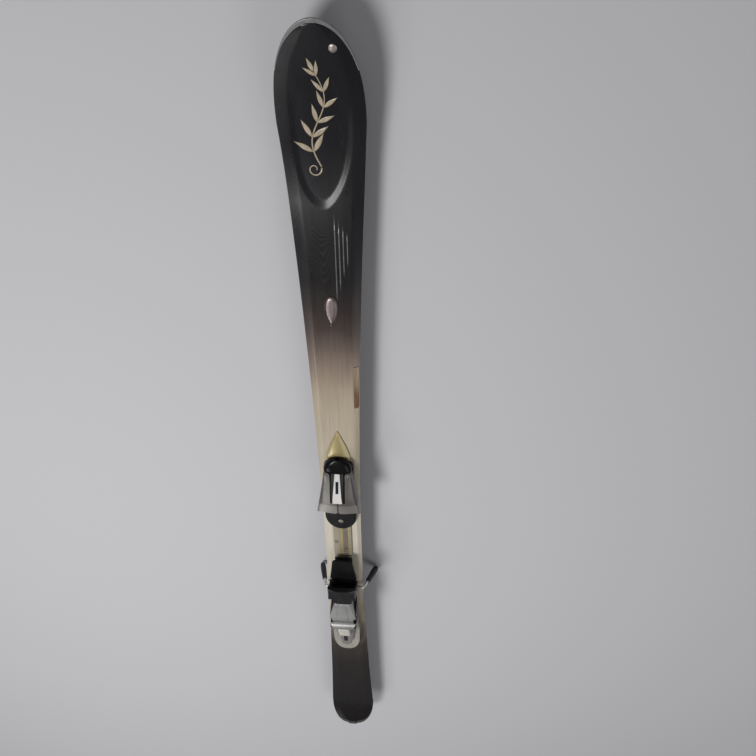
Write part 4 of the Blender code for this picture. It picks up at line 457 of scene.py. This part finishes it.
def topsheet_finish():
    plain = (0.05, 0.05, 0.05)
    made = Finish("topsheet_lacquer", plain, 0.22, coat=0.11, coat_roughness=0.18, specular=0.11)
    waver = made.math("MULTIPLY", made.math("SUBTRACT", made.noise(9.0, (0.6, 2.0, 1.0)), 0.5), 0.05)
    along = made.math("ADD", made.axis("X"), waver)
    stops = [((x - TAIL_X) / SKI_LENGTH, colour) for x, colour in topsheet_colours()]
    fade = made.ramp(made.span(along, TAIL_X, TIP_X), stops)
    streaks = made.span(made.noise(260.0, (0.03, 1.0, 1.0), detail=2.0), 0.35, 0.65, 0.93, 1.07)
    swell = made.noise(5.0, (0.8, 3.0, 1.0), detail=1.0, roughness=0.35)
    rings = made.math("SINE", made.math("MULTIPLY", swell, GRAIN_RINGS))
    grain = made.span(rings, 0.0, 1.0)
    rear_end = made.span(made.axis("X"), *GRAIN_COMES_IN)
    front_end = made.span(made.axis("X"), *GRAIN_FADES, 1.0, 0.25)
    lines = made.math("MULTIPLY", grain, made.math("MULTIPLY", rear_end, front_end))
    toned = made.mix(1.0, fade, streaks, "MULTIPLY")
    made.colour(made.mix(made.math("MULTIPLY", lines, 0.30), toned, (0.034, 0.034, 0.040)))
    made.roughness(made.span(made.noise(60.0, (0.2, 1.0, 1.0)), 0.3, 0.7, 0.20, 0.27))
    made.height(lines, 0.000006)
    return made.material


def ornament_finish(name, colour, roughness):
    """A printed pearl colour, a little uneven."""
    made = Finish(name, colour, roughness, coat=0.6, coat_roughness=0.10)
    cloud = made.noise(160.0, (0.5, 1.0, 1.0), detail=4.0)
    dark = tuple(channel * 0.72 for channel in colour)
    made.colour(made.mix(made.span(cloud, 0.35, 0.65), dark, colour))
    made.roughness(made.span(cloud, 0.3, 0.7, roughness - 0.05, roughness + 0.08))
    return made.material


def base_finish():
    """Waxed sliding base with a fine ground structure."""
    made = Finish("base_polyethylene", (0.012, 0.012, 0.014), 0.3)
    lines = made.noise(2600.0, (0.004, 1.0, 1.0), detail=2.0)
    made.colour(made.mix(made.span(lines, 0.45, 0.7), (0.010, 0.010, 0.012), (0.022, 0.022, 0.025)))
    made.roughness(made.span(made.noise(25.0, (0.3, 1.0, 1.0)), 0.3, 0.7, 0.22, 0.40))
    made.height(lines, 0.00001)
    return made.material


def brushed(name, colour, roughness, stretch, depth=0.00001, wear=0.25):
    """Bare metal brushed along one axis."""
    made = Finish(name, colour, roughness, metallic=1.0)
    lines = made.noise(1800.0, stretch, detail=3.0)
    stain = made.span(made.noise(90.0, detail=4.0), 0.45, 0.75)
    dull = tuple(channel * 0.45 for channel in colour)
    made.colour(made.mix(made.math("MULTIPLY", stain, wear), colour, dull))
    made.roughness(made.span(lines, 0.3, 0.7, roughness - 0.08, roughness + 0.12))
    made.height(lines, depth)
    return made.material


def moulded(name, colour, roughness, grain=0.00003, scale=1400.0, worn=0.35, specular=0.5):
    """Moulded plastic with a fine eroded grain, paler where it has rubbed."""
    made = Finish(name, colour, roughness, specular=specular)
    spots = made.cells(scale)
    cloud = made.noise(45.0, detail=5.0)
    pale = tuple(min(1.0, channel * 1.7 + 0.003) for channel in colour)
    made.colour(made.mix(made.math("MULTIPLY", made.span(cloud, 0.5, 0.75), worn), colour, pale))
    made.roughness(made.span(cloud, 0.3, 0.7, roughness - 0.06, roughness + 0.10))
    made.height(spots, grain)
    return made.material


def lacquered(name, colour, roughness, metallic=0.0, coat=0.5, flake=0.0, specular=0.5):
    """Painted plastic or metal under a clear coat, with a little flake."""
    made = Finish(name, colour, roughness, metallic, coat, 0.08, specular)
    cloud = made.noise(30.0, detail=4.0)
    grit = made.noise(3200.0, detail=1.0)
    dark = tuple(channel * 0.86 for channel in colour)
    light = tuple(min(1.0, channel * 1.12) for channel in colour)
    tone = made.mix(made.span(cloud, 0.35, 0.65), dark, colour)
    made.colour(made.mix(made.math("MULTIPLY", made.span(grit, 0.55, 0.75), flake), tone, light))
    made.roughness(made.span(cloud, 0.3, 0.7, roughness - 0.05, roughness + 0.07))
    made.height(grit, 0.000004)
    return made.material


def amber_finish():
    made = Finish("amber_strip", (0.5, 0.25, 0.1), 0.28, coat=0.2, coat_roughness=0.15, specular=0.3)
    share = made.span(made.axis("X"), 0.360, 0.380)
    grain = made.span(made.noise(300.0, (0.08, 1.0, 1.0), detail=4.0), 0.3, 0.7)
    rear = made.mix(grain, (0.095, 0.045, 0.025), (0.19, 0.095, 0.055))
    front = made.mix(grain, (0.17, 0.115, 0.072), (0.27, 0.195, 0.125))
    made.colour(made.mix(share, rear, front))
    return made.material


def rack_finish():
    """The rack, in darker and paler streaks along its length."""
    made = Finish("rack_steel", (0.2, 0.17, 0.14), 0.45, metallic=0.6)
    grain = made.noise(700.0, (0.1, 1.0, 1.0))
    made.colour(made.mix(grain, (0.13, 0.10, 0.08), (0.30, 0.26, 0.22)))
    made.roughness(made.span(grain, 0.3, 0.7, 0.32, 0.55))
    made.height(grain, 0.00002)
    return made.material


def wing_finish():
    """Silver paint on the toe wings, paler on the lips at their rear."""
    made = Finish("wing_silver", (0.2, 0.2, 0.2), 0.42, metallic=0.55, coat=0.12, coat_roughness=0.10)
    grit = made.span(made.noise(3200.0, detail=1.0), 0.55, 0.75, 0.94, 1.06)
    cloud = made.noise(30.0, detail=4.0)
    share = made.span(made.axis("X"), WING_LIP_X, WING_LIP_X + 0.003)
    tone = made.mix(share, (0.220, 0.206, 0.192), (0.122, 0.113, 0.104))
    made.colour(made.mix(1.0, tone, grit, "MULTIPLY"))
    made.roughness(made.span(cloud, 0.3, 0.7, 0.36, 0.48))
    made.height(cloud, 0.000004)
    return made.material


def finishes_by_slot():
    """Every finish of the ski and its binding, by the name of its material slot."""
    black = (0.0085, 0.0085, 0.0095)
    return {
        "base_black": base_finish(),
        "edge_steel": brushed("edge_steel", (0.62, 0.62, 0.64), 0.30, (0.01, 1.0, 1.0)),
        "core_wood": moulded("core_wood", (0.62, 0.47, 0.30), 0.7),
        "sidewall_black": moulded("sidewall_black", (0.030, 0.029, 0.031), 0.42, 0.00002),
        "topsheet_charcoal": topsheet_finish(),
        "protector_grey": lacquered("tip_rim", (0.120, 0.116, 0.118), 0.34, coat=0.3),
        "protector_dark": lacquered("tail_rim", (0.035, 0.028, 0.026), 0.40, coat=0.3),
        "rivet_silver": lacquered("rivet_aluminium", (0.235, 0.205, 0.190), 0.36, metallic=0.5, coat=0.2),
        "badge_dark": lacquered("badge_bronze", (0.040, 0.027, 0.026), 0.34, metallic=0.4),
        "badge_silver": brushed("badge_aluminium", (0.165, 0.137, 0.135), 0.34, (0.05, 1.0, 1.0)),
        "strip_amber": amber_finish(),
        "rail_grey": lacquered("rail_grey", (0.30, 0.265, 0.205), 0.38),
        "gold_strip": lacquered("gold_strip", (0.38, 0.315, 0.165), 0.36, metallic=0.3),
        "rack_brown": rack_finish(),
        "screw_steel": lacquered("screw_zinc", (0.30, 0.29, 0.28), 0.40, metallic=0.6, coat=0.1),
        "gold_ramp": lacquered("gold_ramp", (0.36, 0.290, 0.130), 0.38, metallic=0.30, flake=0.5),
        "toe_black": moulded("toe_black", black, 0.42, specular=0.22),
        "panel_white": lacquered("panel_pearl", (0.62, 0.60, 0.58), 0.30, coat=0.5, flake=0.3),
        "window_black": lacquered("window_smoke", (0.008, 0.008, 0.010), 0.12, coat=0.7),
        "indicator_orange": moulded("indicator_orange", (0.75, 0.30, 0.06), 0.4),
        "nose_black": lacquered("nose_black", (0.0050, 0.0050, 0.0055), 0.19, coat=0.05, specular=0.10),
        "setting_steel": brushed("setting_zinc", (0.34, 0.33, 0.32), 0.34, (1.0, 1.0, 1.0)),
        "wing_silver": wing_finish(),
        "pin_steel": brushed("pin_steel", (0.60, 0.60, 0.62), 0.28, (1.0, 0.02, 1.0)),
        "glide_black": moulded("glide_black", black, 0.42, specular=0.22),
        "glide_satin": moulded("glide_satin", (0.0090, 0.0090, 0.0100), 0.30, 0.00001, specular=0.25),
        "track_pearl": lacquered("track_pearl", (0.40, 0.375, 0.33), 0.32, 0.30, coat=0.8, flake=0.4),
        "frame_black": moulded("frame_black", black, 0.44, specular=0.22),
        "heel_silver": lacquered("heel_silver", (0.34, 0.337, 0.330), 0.36, 0.60, coat=0.3, flake=0.6),
        "cup_black": moulded("cup_black", (0.0090, 0.0090, 0.0100), 0.40, specular=0.25),
        "panel_cream": lacquered("panel_cream", (0.58, 0.555, 0.485), 0.30, coat=0.6),
        "cover_grey": lacquered("cover_grey", (0.27, 0.26, 0.24), 0.34, metallic=0.35, flake=0.5),
        "bracket_grey": moulded("bracket_grey", (0.020, 0.020, 0.022), 0.42, specular=0.3),
        "pedal_black": moulded("pedal_black", (0.0050, 0.0050, 0.0056), 0.44, specular=0.15),
        "wire_steel": brushed("wire_steel", (0.66, 0.63, 0.58), 0.30, (1.0, 1.0, 0.05)),
        "tip_black": moulded("tip_black", (0.0150, 0.0145, 0.0140), 0.44, specular=0.30),
    }


def paint_nodes(finishes):
    """Gives every piece the finish of its slot."""
    for entry in frame["record"]["subparts"]:
        node = frame["nodes"][entry["node"]]
        node.data.materials.clear()
        node.data.materials.append(finishes[entry["material_slot"]])


def smooth_group():
    """A node group that shades a mesh smooth but for its sharp edges."""
    group = bpy.data.node_groups.new("smooth_faces", "GeometryNodeTree")
    for side in ("INPUT", "OUTPUT"):
        group.interface.new_socket("Geometry", in_out=side, socket_type="NodeSocketGeometry")
    start = group.nodes.new("NodeGroupInput")
    end = group.nodes.new("NodeGroupOutput")
    normals = group.nodes.new("GeometryNodeSetMeshNormal")
    normals.mode = "SHARPNESS"
    fold = group.nodes.new("GeometryNodeInputMeshEdgeAngle")
    sharp = group.nodes.new("FunctionNodeCompare")
    sharp.operation = "GREATER_THAN"
    sharp.inputs["B"].default_value = SHARP_ANGLE
    group.links.new(fold.outputs["Unsigned Angle"], sharp.inputs["A"])
    group.links.new(sharp.outputs["Result"], normals.inputs["Edge Sharpness"])
    group.links.new(start.outputs["Geometry"], normals.inputs["Mesh"])
    group.links.new(normals.outputs["Mesh"], end.inputs["Geometry"])
    return group


def soften():
    """Rounds the edges of the moulded and cast pieces, and shades every curved face smooth."""
    group = smooth_group()
    for name, node in frame["nodes"].items():
        weld = node.modifiers.new("weld", "WELD")
        weld.merge_threshold = 0.000002
        if name in SOFT_EDGES:
            edge = node.modifiers.new("soft_edges", "BEVEL")
            edge.width = SOFT_EDGES[name]
            edge.segments = 3
            edge.limit_method = "ANGLE"
            edge.angle_limit = SHARP_ANGLE
        smooth = node.modifiers.new("smooth_faces", "NODES")
        smooth.node_group = group
        weighted = node.modifiers.new("flat_faces", "WEIGHTED_NORMAL")
        weighted.keep_sharp = True


# Fine pieces in the place of plain ones
def link_mesh(name, shape, material, angle=40):
    """Turns a bmesh into an object of the scene, smooth but for its sharp edges."""
    bmesh.ops.recalc_face_normals(shape, faces=shape.faces)
    data = bpy.data.meshes.new(name)
    shape.to_mesh(data)
    shape.free()
    data.materials.append(material)
    data.shade_smooth()
    data.set_sharp_from_angle(angle=math.radians(angle))
    made = bpy.data.objects.new(name, data)
    bpy.context.scene.collection.objects.link(made)
    return made


def add_loft(shape, rings):
    """Adds a closed skin over rings of equal point counts, with a face at each end."""
    corners = [[shape.verts.new(point) for point in ring] for ring in rings]
    count = len(rings[0])
    for near, far in zip(corners, corners[1:]):
        for i in range(count):
            k = (i + 1) % count
            shape.faces.new((near[i], near[k], far[k], far[i]))
    shape.faces.new(corners[0])
    shape.faces.new(list(reversed(corners[-1])))


def rows():
    """Places along the ski, closest together round the basin and at the two ends."""
    places = []
    x = LAYER_TAIL
    while x < LAYER_TIP:
        places.append(x)
        end = min(x - LAYER_TAIL, LAYER_TIP - x)
        step = FINE_STEP if FINE_REAR < x < FINE_FRONT else COARSE_STEP
        x += min(step, 0.0004 + 0.25 * end)
    return places + [LAYER_TIP]


def columns(x):
    """Lateral places of a row, with a close pair on each side of the shoulders."""
    edge, crest = layer_half_width(x), shoulder(x)
    flat = max(0.0, crest - CREASE)
    inner = [between(-flat, flat, i / COLUMNS) for i in range(COLUMNS + 1)]
    outer = [min(edge, crest + CREASE), between(min(edge, crest + CREASE), edge, 0.5), edge]
    return [-y for y in reversed(outer)] + inner + outer


def fine_topsheet(material):
    rings = []
    for x in rows():
        places = columns(x)
        top = [(x, y, cap_z(x, y)) for y in places]
        under = [(x, y, z - SKIN) for _, y, z in reversed(top)]
        rings.append(top + under)
    shape = bmesh.new()
    add_loft(shape, rings)
    made = link_mesh("topsheet_skin", shape, material)
    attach(made, "ski")
    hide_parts("topsheet")


def rim_band(name, node, slot, widest_x, end_length, width, roundness, bluntness, material):
    """A rounded band round the tip or the tail, from horn to horn."""
    step = 1.0 if widest_x > 0 else -1.0
    first = math.asin(HORN_SHARE ** (roundness / 2))
    half_turn = [between(first, math.pi / 2, ease(i / RIM_STEPS)) for i in range(RIM_STEPS + 1)]
    angles = [(a, 1.0) for a in half_turn] + [(a, -1.0) for a in reversed(half_turn[:-1])]
    # Shares of the way from the outer edge to the inner one, and of the height
    outer_side = ((0.0, 0.0), (0.0, 0.55), (0.04, 0.78), (0.14, 0.93), (0.30, 1.0))
    section = (*outer_side, (0.65, 1.0), (1.0, 0.98), (1.0, 0.0))
    rings = []
    for angle, side in angles:
        along = math.sin(angle) ** (2 / roundness)
        across = side * width / 2 * max(0.0, math.cos(angle)) ** (2 / bluntness)
        outer_x = widest_x + step * end_length * along
        inner_x = widest_x + step * (end_length - RIM) * along
        edge = layer_half_width(inner_x)
        height = cap_z(inner_x, edge) - base_z(inner_x)
        ring = []
        for inward, up in section:
            x = between(outer_x, inner_x, inward)
            ring.append((x, across, between(base_z(outer_x), base_z(inner_x), inward) + up * height))
        rings.append(ring)
    shape = bmesh.new()
    add_loft(shape, rings)
    made = link_mesh(name, shape, material, 35)
    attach(made, "ski")
    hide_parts(node)


# Ornament in the topsheet and the base
def inlay(shape, outline, lift, surface):
    """A flat printed shape that follows the surface: rings of its outline drawn in to its middle."""
    middle = sum((Vector(point) for point in outline), Vector((0.0, 0.0))) / len(outline)
    rings = []
    for share in (1.0, 0.66, 0.33):
        ring = []
        for point in outline:
            place = middle.lerp(Vector(point), share)
            ring.append(shape.verts.new((place.x, place.y, surface(place.x, place.y) + lift)))
        rings.append(ring)
    centre = shape.verts.new((middle.x, middle.y, surface(middle.x, middle.y) + lift))
    count = len(outline)
    for near, far in zip(rings, rings[1:]):
        for i in range(count):
            k = (i + 1) % count
            shape.faces.new((near[i], near[k], far[k], far[i]))
    for i in range(count):
        shape.faces.new((rings[-1][i], rings[-1][(i + 1) % count], centre))


def leaf(place, heading, length, width):
    """A pointed leaf's outline from its foot, along its heading in degrees."""
    turn = math.radians(heading)
    ahead = Vector((math.cos(turn), math.sin(turn)))
    aside = Vector((-ahead.y, ahead.x))
    foot = Vector(place)
    sides = []
    for i in range(LEAF_POINTS + 1):
        share = i / LEAF_POINTS
        half = width / 2 * math.sin(math.pi * share**0.8) ** 1.2
        sides.append((share, half))
    left = [tuple(foot + ahead * length * share + aside * half) for share, half in sides]
    right = [tuple(foot + ahead * length * share - aside * half) for share, half in reversed(sides[1:-1])]
    return left + right


def stripe(x, y, length, width):
    """A long stripe with pointed ends, its rear end at x."""
    steps = max(4, round(length / 0.010))
    taper = 2.5 * width
    left = []
    for i in range(steps + 1):
        share = i / steps
        near_end = min(share, 1 - share) * length
        left.append((x + share * length, y + width / 2 * min(1.0, 0.15 + near_end / taper)))
    right = [(u, 2 * y - v) for u, v in reversed(left)]
    return left + right


def ribbon(shape, path, lift, surface):
    """A thin line that follows the surface, from a path of places and widths."""
    edges = []
    for i, (place, width) in enumerate(path):
        ahead = Vector(path[min(i + 1, len(path) - 1)][0]) - Vector(path[max(i - 1, 0)][0])
        aside = Vector((-ahead.y, ahead.x)).normalized() * width / 2
        pair = (Vector(place) + aside, Vector(place) - aside)
        edges.append([shape.verts.new((p.x, p.y, surface(p.x, p.y) + lift)) for p in pair])
    for near, far in zip(edges, edges[1:]):
        shape.faces.new((near[0], near[1], far[1], far[0]))


def printed(name, outlines, paths, material, surface, lift):
    """One object of printed shapes and lines, given a hair of thickness."""
    shape = bmesh.new()
    for outline in outlines:
        inlay(shape, outline, lift, surface)
    for path in paths:
        ribbon(shape, path, lift, surface)
    made = link_mesh(name, shape, material)
    film = made.modifiers.new("film", "SOLIDIFY")
    film.thickness = PRINT_THICKNESS
    film.offset = 0.0
    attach(made, "ski")


def spray_place(share):
    """A place on the spray's winding stem."""
    turn = 2 * math.pi * share
    return between(SPRAY_REAR, SPRAY_FRONT, share), 0.004 + SPRAY_BOW * math.sin(turn)


def spray_leaves():
    """Pointed leaves in pairs along the stem, and one at its end."""
    outlines = []
    for i in range(SPRAY_PAIRS):
        share = 0.16 + 0.80 * i / (SPRAY_PAIRS - 1)
        near, far = spray_place(share - 0.01), spray_place(share + 0.01)
        course = math.degrees(math.atan2(far[1] - near[1], far[0] - near[0]))
        length = between(0.034, 0.020, share)
        for side in (1, -1):
            heading = course + side * between(48, 30, share)
            outlines.append(leaf(spray_place(share), heading, length, 0.24 * length))
    outlines.append(leaf(spray_place(1.0), 24.0, 0.020, 0.0056))
    return outlines


def spray_lines():
    """The stem, and the tendril that curls from its foot."""
    shares = [i / LINE_STEPS for i in range(LINE_STEPS + 1)]
    stem = [(spray_place(share), between(1.3, 0.6, share) * STEM_WIDTH) for share in shares]
    tendril = []
    for share in shares:
        turn = math.radians(TENDRIL_START - TENDRIL_TURN * share)
        reach = TENDRIL_RADIUS * (1 - TENDRIL_CURL * share)
        place = (TENDRIL_MIDDLE[0] + reach * math.cos(turn), TENDRIL_MIDDLE[1] + reach * math.sin(turn))
        tendril.append((place, between(1.2, 0.7, share) * STEM_WIDTH))
    return [stem, tendril]


def pinstripes(front, first_y, side, runs, pitch, width):
    """Stripes beside each other towards one side, each ending behind the last: the longest first."""
    stripes = []
    for i, run in enumerate(runs):
        outline = stripe(front - STRIPE_STEP * i - run, pitch * i, run, width)
        stripes.append([(x, first_y + side * y) for x, y in outline])
    return stripes


def sole_z(x, y):
    """Height of the sliding face, the same all across."""
    return base_z(x)


def ornament():
    pearl = ornament_finish("print_champagne", (0.37, 0.300, 0.205), 0.36)
    printed("shovel_spray", spray_leaves(), spray_lines(), pearl, cap_z, PRINT_LIFT)
    grey = ornament_finish("print_grey", (0.085, 0.080, 0.082), 0.32)
    stripes = pinstripes(STRIPE_FRONT, STRIPE_Y, -1, STRIPE_RUNS, STRIPE_PITCH, STRIPE_WIDTH)
    printed("forebody_stripes", stripes, [], grey, cap_z, PRINT_LIFT)
    cream = ornament_finish("print_cream", (0.62, 0.58, 0.50), 0.40)
    stripes = pinstripes(
        BASE_STRIPE_FRONT, BASE_STRIPE_Y, 1, BASE_STRIPE_RUNS, BASE_STRIPE_PITCH, BASE_STRIPE_WIDTH
    )
    printed("base_stripes", stripes, [], cream, sole_z, -PRINT_LIFT)
    rose = ornament_finish("print_rose", (0.55, 0.10, 0.20), 0.40)
    spot = leaf(BASE_LEAF_PLACE, 0.0, BASE_LEAF_LENGTH, BASE_LEAF_WIDTH)
    printed("base_leaf", [spot], [], rose, sole_z, -PRINT_LIFT)


# The stage
def floor():
    low = cad_box[0][2] - FLOOR_DROP
    shape = bmesh.new()
    bmesh.ops.create_grid(shape, x_segments=1, y_segments=1, size=FLOOR_SIZE / 2)
    data = bpy.data.meshes.new("floor")
    shape.to_mesh(data)
    shape.free()
    made = bpy.data.objects.new("floor", data)
    made.location = (0.0, 0.0, low)
    bpy.context.scene.collection.objects.link(made)
    ground = Finish("floor_pale", FLOOR_COLOUR, 0.9, specular=0.2)
    data.materials.append(ground.material)


def lamp(name, place, aim, size, power):
    light = bpy.data.lights.new(name, "AREA")
    light.shape = "ELLIPSE"
    light.size, light.size_y = size
    light.energy = power
    made = bpy.data.objects.new(name, light)
    bpy.context.scene.collection.objects.link(made)
    made.location = place
    made.rotation_euler = (Vector(aim) - Vector(place)).to_track_quat("-Z", "Y").to_euler()


def world():
    made = bpy.data.worlds.new("studio")
    bpy.context.scene.world = made
    made.use_nodes = True
    back = made.node_tree.nodes["Background"]
    back.inputs["Color"].default_value = (*WORLD_COLOUR, 1.0)
    back.inputs["Strength"].default_value = WORLD_STRENGTH


def camera():
    lens = bpy.data.cameras.new("camera")
    lens.sensor_width = SENSOR_WIDTH
    lens.lens = SENSOR_WIDTH * FOCAL_PIXELS / PHOTO_PIXELS
    lens.clip_start = 0.05
    made = bpy.data.objects.new("camera", lens)
    bpy.context.scene.collection.objects.link(made)
    axes = Matrix((CAMERA_RIGHT, CAMERA_UP, CAMERA_BACK)).transposed()
    made.matrix_world = Matrix.Translation(CAMERA_PLACE) @ axes.to_4x4()
    bpy.context.scene.camera = made


finishes = finishes_by_slot()
paint_nodes(finishes)
soften()
fine_topsheet(finishes["topsheet_charcoal"])
tip = (SHOVEL_X, SHOVEL_FROM_TIP, SHOVEL_WIDTH, TIP_ROUNDNESS, TIP_BLUNTNESS)
rim_band("tip_rim", "tip_protector", "protector_grey", *tip, finishes["protector_grey"])
tail = (WIDE_TAIL_X, WIDE_TAIL_FROM_END, TAIL_WIDTH, TAIL_ROUNDNESS, TAIL_BLUNTNESS)
rim_band("tail_rim", "tail_protector", "protector_dark", *tail, finishes["protector_dark"])
ornament()
floor()
for name, setting in LAMPS.items():
    lamp(name, *setting)
world()
camera()
bpy.context.scene.view_settings.view_transform = "Standard"
